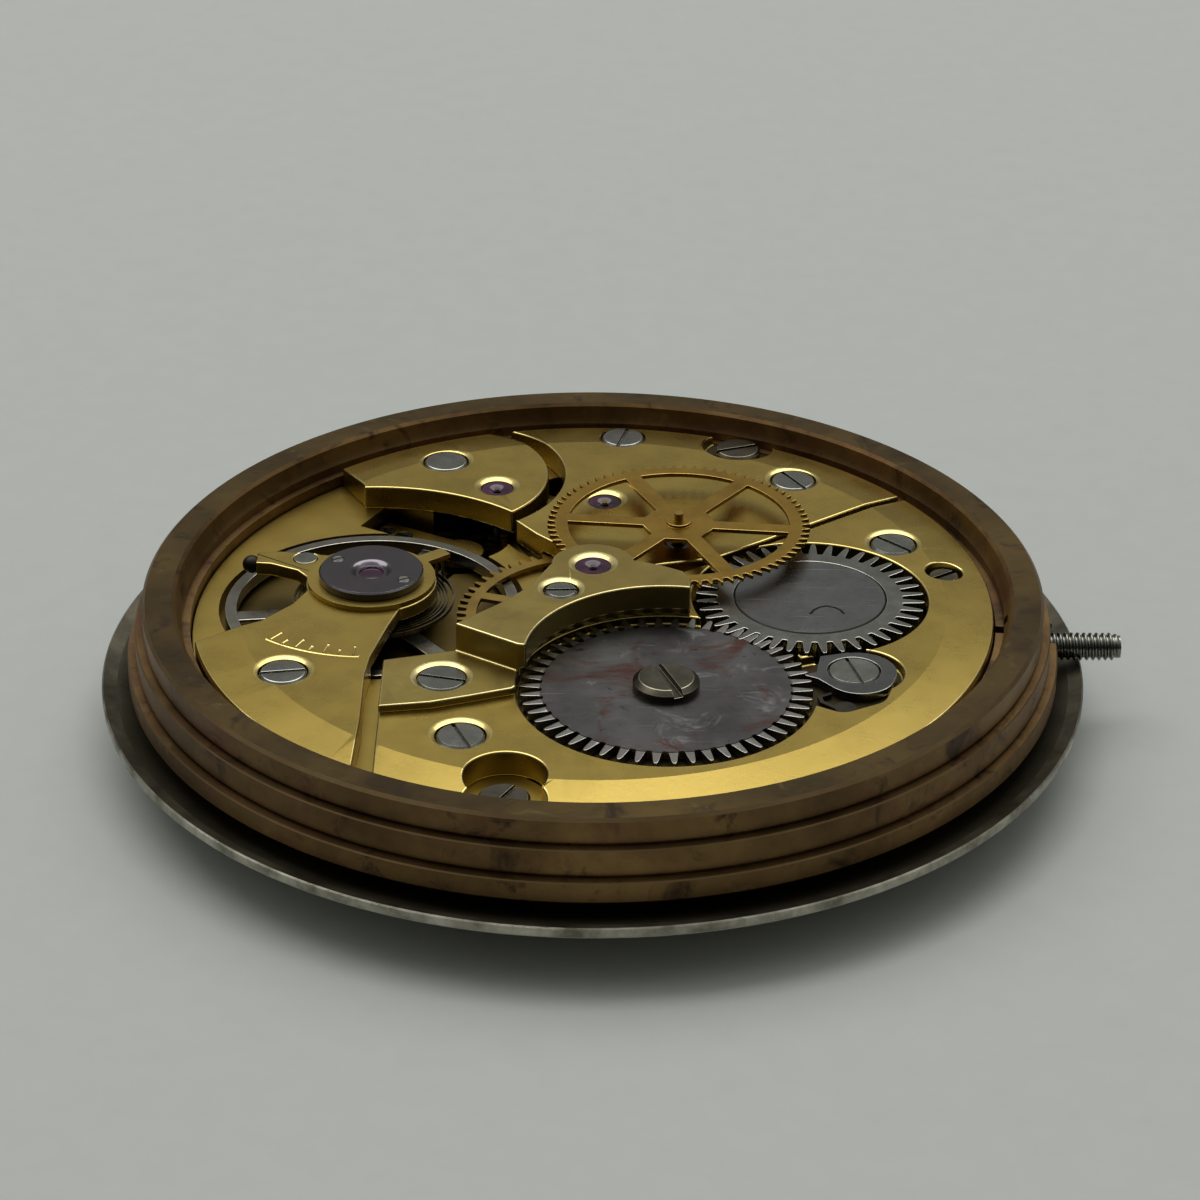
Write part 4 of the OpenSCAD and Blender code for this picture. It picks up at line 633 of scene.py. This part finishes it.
def worked(c, n):
    """Polished slopes of the sinks in the lighter edge material, a painted highlight, and a dark
    tone on the recess floors, painted shade.
    """
    return 2 if 0.8 < n.z < 0.975 else 1 if n.z > 0.9 and c.z < 3.3 else 0


def bridge(o, node, mats=("gilt", "recess", "gilt_edge"), bevel=0.065):
    piece(o, node + "_plate", mats, "frame", [node], bevel=bevel, seg=3, angle=STEEP,
          paint=worked)


def stock():
    """The turned blank of the bridges, with its broad bevelled rim."""
    return lathe([(0, SEAT), (R_MOVE, SEAT), (R_MOVE, TOP - 0.16), (11.3, TOP), (0, TOP)], n=256)


# ---------------------------------------------------------------- casing ring and dial
def casing_ring():
    low, mid, high, g = 14.88, 14.6, 14.34, 0.07      # radii of the tiers, depth of the grooves
    o = lathe([(12.86, 1.44), (low - 0.1, 1.44), (low, 1.54), (low, 2.13), (low - 0.04, 2.17),
               (mid - g, 2.17), (mid - g, 2.24), (mid, 2.28), (mid, 3.05), (mid - 0.04, 3.09),
               (high - g, 3.09), (high - g, 3.16), (high, 3.2), (high, 3.88), (high - 0.1, 3.98),
               (13.4, 3.98), (13.3, 3.88), (13.24, 3.5), (13.12, 3.30), (13.12, 3.0),
               (12.86, 3.0)], n=360)
    stem_slot = (to_x(cyl(AXIS, 0.8, 11.8, 15.8, n=48), STEM_Z),
                 block(11.8, 15.8, -0.8, 0.8, 0.4, STEM_Z))
    key_notch = put(block(12.7, 13.22, -0.22, 0.22, 2.1, 3.7), a=-5.6)
    side_bore = put(to_x(cyl(AXIS, 0.25, 14.4, 15.7, n=32), 1.88), a=-10.5)
    o = cut(o, *stem_slot, key_notch, side_bore)

    # The top face takes the darker bronze_top, painted shade, and the outer chamfers take the
    # lighter edge material, a painted highlight.
    def tone(c, n):
        if n.z > 0.95 and c.z > 3.9:
            return 2
        return 1 if 0.4 < abs(n.z) < 0.95 and c.xy.length > 13.9 else 0
    piece(o, "ring", ["bronze", "bronze_edge", "bronze_top"], "frame", ["casing_ring"], bevel=0,
          smooth=30, paint=tone)


DIAL_R, DIAL_FLAT, DIAL_HOLE = 15.75, 12.9, 0.85      # radii of the rim, the flat and the hole
DIAL_RISE, DIAL_T, RIM_T = 0.89, 0.4, 0.32            # how far the rim rises, and thicknesses


def dial():
    steps = 12
    shares = [i / steps for i in range(steps + 1)]

    def dish(share, z, rise):
        return DIAL_FLAT + (DIAL_R - DIAL_FLAT) * share, z + rise * share ** 1.25
    front = [dish(s, 0, DIAL_RISE) for s in shares[:-1]]
    back = [dish(s, DIAL_T, DIAL_RISE + RIM_T - DIAL_T) for s in reversed(shares[:-1])]
    rim = [(DIAL_R - 0.05, DIAL_RISE - 0.03), (DIAL_R, DIAL_RISE + 0.03),
           (DIAL_R, DIAL_RISE + RIM_T - 0.04), (DIAL_R - 0.05, DIAL_RISE + RIM_T)]
    o = lathe([(DIAL_HOLE, 0)] + front + rim + back + [(DIAL_HOLE, DIAL_T)], n=360)

    # Between the silver edge and the darker back, the outer band takes the lighter dial_rim:
    # painted light.
    def tone(c, n):
        r = c.xy.length
        return 2 if n.z < -0.5 else 1 if n.z < 0.3 or r > 15.7 else 3 if r > 15.2 else 0
    piece(o, "dial_plate", ["dial_back", "silver_edge", "dial_front", "dial_rim"], "frame",
          ["dial"], bevel=0, smooth=30, paint=tone)


def baton(y, half_w):
    """A raised hour mark whose face is narrower than its foot."""
    o = prism([(9.3, y - half_w), (11.5, y - half_w), (11.5, y + half_w), (9.3, y + half_w)],
              -0.1, 0.02)
    for v in o.data.vertices:
        if v.co.z < -0.05:
            v.co.y = y + (v.co.y - y) * 0.25
            v.co.x += 0.12 if v.co.x < 10 else -0.12
    return o


def dial_marks():
    """Plain raised batons, double on one side, and a printed minute track."""
    batons, ticks = [], []
    for minute in range(60):
        a = minute * 6
        if minute % 5:
            ticks.append(put(block(11.9, 12.5, -0.035, 0.035, -0.012, 0.02), a=a))
            continue
        for y in (-0.26, 0.26) if minute == 15 else (0,):
            batons.append(put(baton(y, 0.15 if minute % 15 else 0.2), a=a))
    piece(merge(*batons), "dial_batons", "steel_bright", "frame", (), bevel=0, slot="steel")
    piece(merge(*ticks), "dial_minute_track", "print_black", "frame", (), bevel=0,
          slot="dial_lacquer")


# ---------------------------------------------------------------- bridges, with their outlines
def barrel_bridge():
    pts = [(-6.45, -14), (-6.45, -4.65), (-4.26, -4.04), (-2.74, -2.51), (-1.98, -1.51),
           (-0.9, -0.2), (0, 0.5), (1.0, 0.55), (4.15, 2.52), (14, 9.95), (14, -14)]
    spring_bed = [(5.9, -4.2), (8.1, -3.3), (9.4, -4.9), (8.9, -6.6), (7.6, -7.3), (6.4, -6.6)]
    o = union(prism(pts, 2, 4), cyl(AXIS, 1.3, 2, 4))
    o = common(stock(), o)
    o = cut(o, hole(BARREL, R_PR + WELL, RECESS, n=160), hole(BARREL, 0.93),
            hole(CROWN, C_PR + WELL, CROWN_FLOOR, n=140),
            cyl(AXIS, CENTRE_WELL, 0, CENTRE_ROOF, n=140), hole(AXIS, 0.35),
            block(9.3, 10.9, -1.41, 1.41, 1, CENTRE_ROOF),
            hole(CLICK, 1.3, RECESS), hole((8.27, -4.76), 1.35, RECESS, n=96),
            prism(soften(spring_bed, 0.3), RECESS, ABOVE),
            hole((-2.53, -10.95), 1.24, 1), hole((-2.53, -12.2), 1.24, 1), hole(LEVER_SCREW, 0.6))
    for c in BARREL_SCREWS:
        o = screw_hole(o, c, TOP)
    o = cut(o, hole(FOOT_SCREW, BORE), hole(CENTRE_SCREW, BORE, 2.9))
    bridge(o, "barrel_bridge")


def train_bridge():
    pts = [(-2.6, 5.3), (-1.9, 4.35), (-0.6, 3.0), (1.2, 2.0), (4.0, 2.7), (14, 10.3), (14, 14),
           (-6, 14)]
    o = cut(prism(pts, 2, 4), hole((-5.5, 8.75), 4.5, 1, n=160))
    o = common(stock(), o)
    o = cut(o, cyl(AXIS, CENTRE_WELL, 0, CENTRE_ROOF, n=140), cyl(THIRD, 0.71, 0, 2.91),
            hole(THIRD, 0.51, RECESS), hole(THIRD, 0.3),
            hole(CROWN, C_PR + WELL, CROWN_FLOOR, n=140),
            hole(CASE_SCREWS[0], 1.2, 3), hole(CASE_SCREWS[0], 0.31))
    o = jewel_seat(o, FOURTH)
    for c in TRAIN_SCREWS:
        o = screw_hole(o, c, TOP)
    bridge(o, "train_bridge")


def escape_bridge():
    o = cyl((-5.5, 8.75), 3.95, 2, 4, n=160)
    o = cut(o, hole((-7.3, 1.0), 6.72, 1, n=200),
            prism([(-7.8, 7.89), (-7.8, 5), (-12, 5), (-12, 10.4), (-9.2, 10.4)], 1, ABOVE))
    o = common(stock(), o)
    o = jewel_seat(o, ESCAPE)
    o = screw_hole(o, ESCAPE_SCREW, TOP)
    bridge(o, "escape_bridge")


def centre_bridge():
    top = [(-4.25, -4.02), (-2.74, -2.51), (-1.98, -1.51), (-1.33, 0), (0, 0), (1.41, 0.21),
           (2.21, -0.12), (2.86, -0.5), (3.08, -1.0), (3.08, -3), (-1, -5.6), (-2.3, -5.3)]
    foot = [(-6.45, -4.65), (-4.26, -4.04), (-2.6, -2.6), (-1.5, -5), (-2.43, -6.38),
            (-3.7, -6.85), (-4.9, -7.25), (-6.45, -7.5)]
    roof = 4.23                                       # over the drive wheel's rim
    o = union(prism(top, TOP, CTOP), cyl(AXIS, 1.33, TOP, CTOP, n=96))
    o = cut(o, cyl(BARREL, 4.33, 0, 6, n=160))
    f = cut(prism(foot, TOP, TOP + FOOT_T), cyl(BARREL, R_PR + WELL, 0, 6, n=160))
    o = union(o, f)
    o = cut(o, cyl(BARREL, R_PR + WELL, 2, 3.55, n=160), cyl(CROWN, C_PR + WELL, 2, 3.55, n=140),
            cyl(THIRD, 4.44, 2, roof, n=160), cyl(AXIS, 0.79, 2, roof), cyl(AXIS, 0.18, 2, 6),
            cyl(AXIS, 0.58, CTOP - 0.26, 6),
            cyl(AXIS, 0.58, CTOP - 0.1, CTOP + 0.01, r1=0.81, n=48))
    SINKS.append((AXIS, 0.83))
    o = screw_hole(o, CENTRE_SCREW, CTOP, 1.07)
    o = screw_hole(o, FOOT_SCREW, TOP + FOOT_T, 1.5, 0.21)
    o = cut(o, cyl(BARREL, 4.52, 3.3, 3.82, n=160))
    bridge(o, "centre_bridge", ["gilt_olive", "recess", "gilt_olive_edge"], 0.055)


def balance_cock():
    edge = [(-7.25, -14), (-6.98, -7.9), (-7.0, -5.1), (-6.9, -4.0), (-6.45, -2.0), (-6.15, -0.9),
            (-5.5, -0.2), (-7.15, 0.95), (-8.3, 2.7), (-10.3, 3.02), (-11.0, 2.9), (-11.0, 2.2),
            (-10.5, 2.15), (-9.6, 1.7), (-9.15, 1.1), (-9.2, 0.3), (-9.6, -0.6), (-10.5, -1.7),
            (-11.65, -2.35), (-12.6, -2.9), (-14, -14)]
    o = union(prism(edge, 2, 4), cyl(BALANCE, 2.11, 2, 4, n=96))
    o = common(stock(), o)
    o = cut(o, cyl(BALANCE, 4.95, 0, COCK_UNDER, n=160), hole(BALANCE, 0.3),
            hole(BALANCE, 0.51, 3.12), hole(STUD, 0.39))
    o = screw_hole(o, COCK_SCREW, TOP)
    # an engraved scale for the regulator: an arc with long and short ticks
    scale = [groove([at(BALANCE, 4.95, 231 + 2 * i) for i in range(20)], 0.11, 0.05, TOP)]
    for i in range(7):
        a = 233 + 5.6 * i
        tick = [at(BALANCE, 4.55 if i % 2 else 4.3, a), at(BALANCE, 4.87, a)]
        scale.append(groove(tick, 0.09, 0.04, TOP))
    bridge(cut(o, *scale), "balance_cock", bevel=0.05)


def pallet_bridge():
    z0, z1 = 1.85, 2.09
    turn = way(ESCAPE, BALANCE)
    pallet = at(ESCAPE, 4.3 / 2 / math.cos(math.radians(30)) + 0.02, turn)
    o = union(block(-0.55, 0.55, -3.2, 0, z0, z1), cyl(AXIS, 0.8, z0, z1))
    o = cut(o, hole(AXIS, 0.12, n=24))
    for y in (-2.2, -2.9):
        o = cut(o, hole((0, y), 0.21), hole((0, y), 0.31, 1.95))
    piece(put(o, pallet, turn), "pallet_cock_plate", "gilt", "frame", ["pallet_bridge"])


# ---------------------------------------------------------------- screws
def screws():
    def one(c, turn, top=TOP, head_d=1.5, head_h=0.34, reach=1.9, slot_w=0.13):
        return put(screw(head_d, head_h - 0.05, 0.7, reach - 0.05, turn, slot_w), c, 0, top - 0.06)

    def pair(a, b, name, node, mat="steel"):
        piece(merge(a, b), name, mat, "frame", [node])
    pair(one(BARREL_SCREWS[0], -68), one(BARREL_SCREWS[1], -44), "bridge_screw_pair_a",
         "barrel_screws")
    pair(one(TRAIN_SCREWS[0], 76), one(TRAIN_SCREWS[1], 120), "bridge_screw_pair_b",
         "train_screws")
    pair(one(FOOT_SCREW, -14, TOP + FOOT_T, 1.5, 0.21, 2.17),
         one(CENTRE_SCREW, 2, CTOP, 1.07, 0.34, 1.7), "centre_screw_pair", "centre_screws")
    pair(one(COCK_SCREW, 9), one(ESCAPE_SCREW, 150, slot_w=0), "cock_screw_pair", "cock_screws")
    case = [put(screw(1.56, 0.29, 0.6, 1.3, i * 40 + 20), c, 0, 3.3)
            for i, c in enumerate(CASE_SCREWS)]
    pair(*case, "case_screw_pair", "case_screws", "steel_dark")
    piece(put(screw(1.0, 0.24, 0.5, 2.9, 35), LEVER_SCREW, 0, TOP - 0.18), "lever_screw",
          "steel_dark", "lever", ["setting_screw"])


# ---------------------------------------------------------------- winding wheels and click
def meshed(n1, turn1, n2, d):
    """The turn at which a wheel of n2 teeth meshes with one of n1, which lies in direction -d."""
    return d + 180 - (turn1 - d) * n1 / n2 + 180 / n2


CROWN_TURN = 180 / CROWN_TEETH
RATCHET_TURN = meshed(CROWN_TEETH, CROWN_TURN, RATCHET_TEETH, way(CROWN, BARREL))


def winding_wheel(n, pr, turn, t):
    return prism(teeth(n, pr + 0.32, pr - 0.36, turn, 0.33, 0.66), WIND_TOP - t, WIND_TOP)


def winding_wheels():
    square = 0.56                                     # half of the barrel arbor's square
    line = [(3.86, WIND_TOP - 0.02), (3.9, WIND_TOP - 0.02), (3.9, 4), (3.84, 4)]
    o = cut(winding_wheel(RATCHET_TEETH, R_PR, RATCHET_TURN, RATCHET_T),
            block(-square, square, -square, square, 0, ABOVE), lathe(line, n=160))
    SINKS.append((BARREL, 3.95))
    piece(put(o, BARREL), "ratchet", "steel_worn", "ratchet", ["ratchet_wheel"], bevel=0.03,
          angle=75)
    h = 0.38
    o = lathe([(0, -0.9), (0.4, -0.9), (0.4, 0), (1.03, 0), (1.03, h - 0.14), (0.85, h), (0, h)],
              n=64)
    o = cut(o, put(block(-2, 2, -0.15, 0.15, h - 0.2, 1), a=-69))
    piece(put(o, BARREL, 0, WIND_TOP), "ratchet_screw_head", "steel_dark", "ratchet",
          ["ratchet_screw"], bevel=0.03)

    o = cut(winding_wheel(CROWN_TEETH, C_PR, CROWN_TURN, CROWN_T), hole(AXIS, 1.53),
            hole(AXIS, 2.45, WIND_TOP - 0.23, n=120))
    piece(put(o, CROWN), "crown_wheel_ring", "steel", "crown", ["crown_wheel"], bevel=0.03,
          angle=75)
    cap_top = WIND_TOP + 0.01
    o = lathe([(0, SEAT + 0.02), (0.5, SEAT + 0.02), (0.5, CROWN_FLOOR), (1.5, CROWN_FLOOR),
               (1.5, WIND_TOP - 0.2), (2.42, WIND_TOP - 0.2), (2.42, WIND_TOP - 0.02),
               (2.39, cap_top), (0, cap_top)], n=120)
    arc = [(-0.06, -1.17), (0.08, -0.9), (0.28, -0.7), (0.51, -0.63), (0.76, -0.73), (0.94, -0.92),
           (1.02, -1.15)]
    o = cut(o, groove(arc, 0.09, 0.07, cap_top))

    # The walls of the engraved arc and the chamfer round the cap's top are black.
    def dark_slopes(c, n):
        return 1 if WIND_TOP - 0.04 < c.z < WIND_TOP + 0.008 and 0.3 < n.z < 0.95 else 0
    piece(put(o, CROWN), "crown_cap", ["steel_core", "print_black"], "frame", ["crown_core"],
          bevel=0, paint=dark_slopes)


def click():
    # the nose bears on one tooth of the ratchet, and the gap leaves room for its lift
    pitch = 360 / RATCHET_TEETH
    first = math.floor((way(BARREL, (6.3, -4.93)) - RATCHET_TURN) / pitch)
    turn = RATCHET_TURN + pitch * (first + 0.5)
    nose = at(BARREL, R_PR + 0.2, turn + math.degrees(0.14 / 4.37))
    root = at(BARREL, R_PR + WELL, turn)
    cx, cy = CLICK
    z0, z1 = WIND_TOP - RATCHET_T, WIND_TOP - 0.02
    o = union(cyl((cx + 0.14, cy - 0.05), 1.19, z0, z1, n=96),
              cyl((cx + 0.14, cy - 0.34), 1.1, z0, z1, n=96),
              prism([(nose[0], nose[1] - 0.03), (root[0] + 0.14, root[1] - 0.15),
                     (cx - 0.7, cy - 1.05), (cx, cy - 1.0), (cx - 0.1, cy + 1.15),
                     (cx - 1.0, cy + 0.9), (root[0] + 0.1, root[1] + 0.28),
                     (nose[0], nose[1] + 0.03)], z0, z1))
    o = cut(o, hole(CLICK, 0.5), hole(CLICK, 0.83, WIND_TOP - 0.17))
    piece(o, "click_pawl", "steel_click", "click", ["click"], bevel=0.03, angle=STEEP)
    piece(put(screw(1.58, 0.14, 0.94, 0.3, -75, 0.11, 0.1), CLICK, 0, WIND_TOP - 0.02),
          "click_screw_head", "steel", "frame", ["click_screw"])


# ---------------------------------------------------------------- drive wheel and balance
def drive_wheel():
    n, pinion, spokes, turn = 75, 10, 6, 54
    z0, z1, rim = 3.98, 4.13, 0.42
    pr = math.hypot(*THIRD) * n / (n + pinion)
    module = 2 * pr / n
    root = pr - 1.25 * module
    inner = root - rim
    o = prism(teeth(n, pr + module, root, 0, 0.2, 0.58), z0, z1)
    o = cut(o, cyl(AXIS, inner, z0 - 1, z1 + 1))
    o = union(o, arms(0.9, spokes, inner + rim / 2, 0.55, turn, z0, z1))
    collar = [at(AXIS, 1.32, turn + 360 / spokes * k) for k in range(spokes)]
    o = union(o, prism(collar, z0, z1), cyl(AXIS, 0.42, 3.68, 4.23))
    o = cut(o, hole(AXIS, 0.15, n=24))
    piece(put(o, THIRD), "drive_wheel_disc", "gilt_drive", "third", ["drive_wheel"], bevel=0.022,
          angle=75)


def balance():
    o = lathe([(4.37, 2.25), (4.75, 2.25), (4.75, 2.65), (4.37, 2.65)], n=240)
    o = union(o, arms(0.75, 3, 4.56, 0.6, 187, 2.33, 2.45))
    o = cut(o, hole(AXIS, 0.3))
    piece(put(o, BALANCE), "balance_rim", "balance_steel", "balance", ["balance_wheel"],
          bevel=0.03, angle=STEEP)


def hairspring():
    turns, steps, start = 18, 60, 145
    first, bend, last = 0.54, 2.5, 2.74               # radii of the inner, last and outer coil
    t, h = 0.04, 0.14
    rings = []
    for i in range(turns * steps + 1):
        share = i / (turns * steps)
        # the last turn stands off the others, to pass between the regulator's pins
        off = max(0.0, share * turns - (turns - 1))
        if off:
            r = bend + (last - bend) * off
        else:
            r = first + (bend - first) * share * turns / (turns - 1)
        a = math.radians(start + 360 * turns * share)
        inner, outer = [((r + side) * math.cos(a), (r + side) * math.sin(a))
                        for side in (-t / 2, t / 2)]
        rings.append([(*outer, HS_Z), (*inner, HS_Z), (*inner, HS_Z + h), (*outer, HS_Z + h)])
    piece(put(loft(rings), BALANCE), "hairspring_coil", "spring", "frame", ["hairspring"], bevel=0)


# ---------------------------------------------------------------- fittings on the balance cock
CAP_FOOT, CAP_TOP = TOP + 0.19, TOP + 0.45            # the broad part of the cap plate
CAP_SCREWS = (149, -33)                               # directions of its screws


def regulator():
    z = TOP + 0.01
    o = union(cyl(AXIS, 2.06, z, z + 0.16, n=120), block(1.76, 2.95, -0.25, 0.25, z, z + 0.16))
    o = cut(o, hole(AXIS, 1.615, n=96))
    for side in (-0.12, 0.12):
        o = union(o, cyl((2.7 + side, 0), 0.05, HS_Z, TOP + 0.1, n=16))
    piece(put(o, BALANCE, 38), "regulator_ring", "gilt", "regulator", ["regulator_index"])


def cap_plate():
    bowl = CAP_FOOT + 0.12
    o = lathe([(0.4, TOP), (1.585, TOP), (1.585, CAP_FOOT), (1.685, CAP_FOOT),
               (1.685, CAP_TOP - 0.05), (1.635, CAP_TOP), (0.72, CAP_TOP), (0.59, CAP_TOP - 0.055),
               (0.5, bowl), (0.4, bowl)], n=120)
    for a in CAP_SCREWS:
        c = at(AXIS, 1.3, a)
        o = cut(o, cyl(c, 0.13, 2, CAP_TOP), hole(c, 0.21, CAP_TOP - 0.12))
    piece(put(o, BALANCE), "cap_plate_disc", "steel_polished", "frame", ["cap_plate"], bevel=0.015)
    small = [put(screw(0.4, 0.13, 0.24, 0.47, a + 60, 0.07, 0.06), at(BALANCE, 1.3, a), 0,
                 CAP_TOP + 0.02) for a in CAP_SCREWS]
    piece(merge(*small), "cap_screw_pair", "steel_bright", "frame", ["cap_screws"], bevel=0.008)


def cap_stone():
    """A domed jewel."""
    r, rise = 0.5, 0.09
    z = CAP_FOOT + 0.03
    dome = [(r * math.cos(math.radians(b)), z + rise * math.sin(math.radians(b)))
            for b in range(10, 90, 10)]
    profile = [(0, CAP_FOOT), (r, CAP_FOOT), (r, z)] + dome + [(0, z + rise)]
    piece(lathe(profile, BALANCE, n=48), "cap_stone", "ruby", "frame", ["cap_jewel"], bevel=0)


def stud():
    o = union(cyl(STUD, 0.38, COCK_UNDER, TOP + 0.02, n=48),
              cyl(STUD, 0.24, HS_Z - 0.04, COCK_UNDER + 0.01, n=32))
    piece(o, "stud", "steel", "frame", ["hairspring_stud"])


def jewels():
    def jewel(c, r, bore, z0, z1):
        return lathe([(bore, z0), (r, z0), (r, z1 - 0.02), (r - 0.02, z1), (r * 0.66, z1),
                      (r * 0.45, z1 - 0.05), (bore, z1 - 0.1)], c, n=48)
    o = merge(jewel(FOURTH, 0.55, 0.12, RECESS, 3.32), jewel(ESCAPE, 0.55, 0.12, RECESS, 3.32),
              jewel(THIRD, 0.5, 0.18, RECESS, 3.39),
              jewel(AXIS, 0.57, 0.12, CTOP - 0.26, CTOP - 0.09),
              jewel(BALANCE, 0.5, 0.12, 3.12, 3.36))
    piece(o, "bridge_jewels", "ruby", "frame", ["upper_jewels"], bevel=0)


# ---------------------------------------------------------------- stem
def stem():
    o = lathe([(0, 4.85), (0.27, 4.85), (0.27, 5.72), (0.4, 5.72), (0.4, 9.28), (0.4, 11.12),
               (0.28, 11.12), (0.28, 11.58), (0.5, 11.58), (0.5, 13.83), (0.36, 13.83),
               (0.36, 17.0), (0, 17.0)], n=48)
    piece(to_x(o, STEM_Z), "stem_core", "steel", "stem", ["winding_stem"], bevel=0.01)


def stem_thread():
    """The crown thread: a V ridge wound along the stem's free end, faded in and out."""
    pitch, root, crest = 0.2, 0.355, 0.45
    first, last, n = 13.95, 16.96, 40
    turns = (last - first) / pitch
    rings = []
    for i in range(int(turns * n) + 1):
        a = 2 * math.pi * i / n
        z = first + pitch * i / n
        fade = min(1.0, i / n, (turns * n - i) / n)
        ridge = root + (crest - root) * max(0.15, fade)
        rings.append([(r * math.cos(a), r * math.sin(a), z + dz) for r, dz in
                      ((root, -0.085), (ridge, -0.018), (ridge, 0.018), (root, 0.085))])
    piece(to_x(loft(rings), STEM_Z), "stem_thread", "steel", "stem", (), bevel=0,
          slot="dark_steel")


# ---------------------------------------------------------------- build
for make in (casing_ring, dial, dial_marks, barrel_bridge, train_bridge, escape_bridge,
             centre_bridge, balance_cock, pallet_bridge, screws, winding_wheels, click,
             drive_wheel, balance, hairspring, regulator, cap_plate, cap_stone, stud, jewels,
             stem, stem_thread):
    make()

# CAD nodes whose shape stays get a worked material
BY_SLOT = {"gilt_brass": "gilt", "wheel_brass": "gilt_wheel", "ruby": "ruby",
           "dark_steel": "steel_dark", "steel": "steel", "balance_alloy": "balance_steel",
           "spring_alloy": "spring", "bronze": "bronze", "dial_lacquer": "dial_front"}
# main_plate's gilt darkens low down as painted shade, and steel_pit paints the click spring and
# the stud screw near-black as shade.
BY_NODE = {"barrel_drum": "brass_dark", "barrel_cover": "brass_dark", "stud_screw": "steel_pit",
           "main_plate": "gilt_plate", "click_spring": "steel_pit"}
for name, node in frame["nodes"].items():
    if node.hide_render:
        continue
    node.data.materials.clear()
    node.data.materials.append(MATS[BY_NODE.get(name) or BY_SLOT[SLOT[name]]])

# ---------------------------------------------------------------- floor and light
FLOOR_Z, FLOOR_T, FLOOR_HALF = -0.9, 1.0, 400


def floor():
    def build(g):
        tone = g.mix(0.5, g.noise(6, 3, 0.5), g.noise(900, 3, 0.6))
        greys = [(0.3, (0.455, 0.475, 0.452)), (0.7, (0.485, 0.505, 0.482))]
        return {"Base_Color": g.ramp(tone, greys), "Roughness": 0.85, "Metallic": 0.0,
                "Specular_IOR_Level": 0.2}
    material("floor", build)
    h = FLOOR_HALF
    o = loft([[(-h, -h, z), (h, -h, z), (h, h, z), (-h, h, z)]
              for z in (FLOOR_Z - FLOOR_T, FLOOR_Z)])
    o.name = "floor"
    o.data.transform(Matrix.Scale(MM, 4))
    o.data.materials.append(MATS["floor"])


def softbox(name, elevation, azimuth, far, width, height, radiance):
    """A rectangular lamp that faces the object; its power follows from its brightness."""
    data = bpy.data.lights.new(name, "AREA")
    data.shape = "RECTANGLE"
    data.size = width
    data.size_y = height
    data.energy = radiance * math.pi * width * height
    o = bpy.data.objects.new(name, data)
    scene.collection.objects.link(o)
    e, a = math.radians(elevation), math.radians(azimuth)
    place = Vector((math.cos(e) * math.cos(a), math.cos(e) * math.sin(a), math.sin(e))) * far
    o.location = place
    o.rotation_euler = (-place).to_track_quat("-Z", "Y").to_euler()


def sky():
    """A plain studio: dim near the ground and behind the camera, brighter overhead."""
    world = bpy.data.worlds.new("world")
    scene.world = world
    g = Graph(world, "Generated")

    def tones(value, stops):
        return g.ramp(value, [(p, (c, c, c * 0.98)) for p, c in stops])
    height = tones(g.axis("Z"), [(0.0, 0.08), (0.25, 0.15), (0.5, 0.27), (0.65, 0.45),
                                 (0.78, 0.85), (1.0, 0.9)])
    depth = tones(g.span(g.axis("Y"), -1, 1), [(0.0, 0.15), (0.25, 0.3), (0.5, 1.0), (1.0, 1.0)])
    g.feed(g.nodes["Background"], Color=g.mix(1.0, height, depth, "MULTIPLY"))


floor()
softbox("key", 65, 104, 0.46, 0.66, 0.32, 2.0)
sky()

scene.view_settings.view_transform = "Standard"
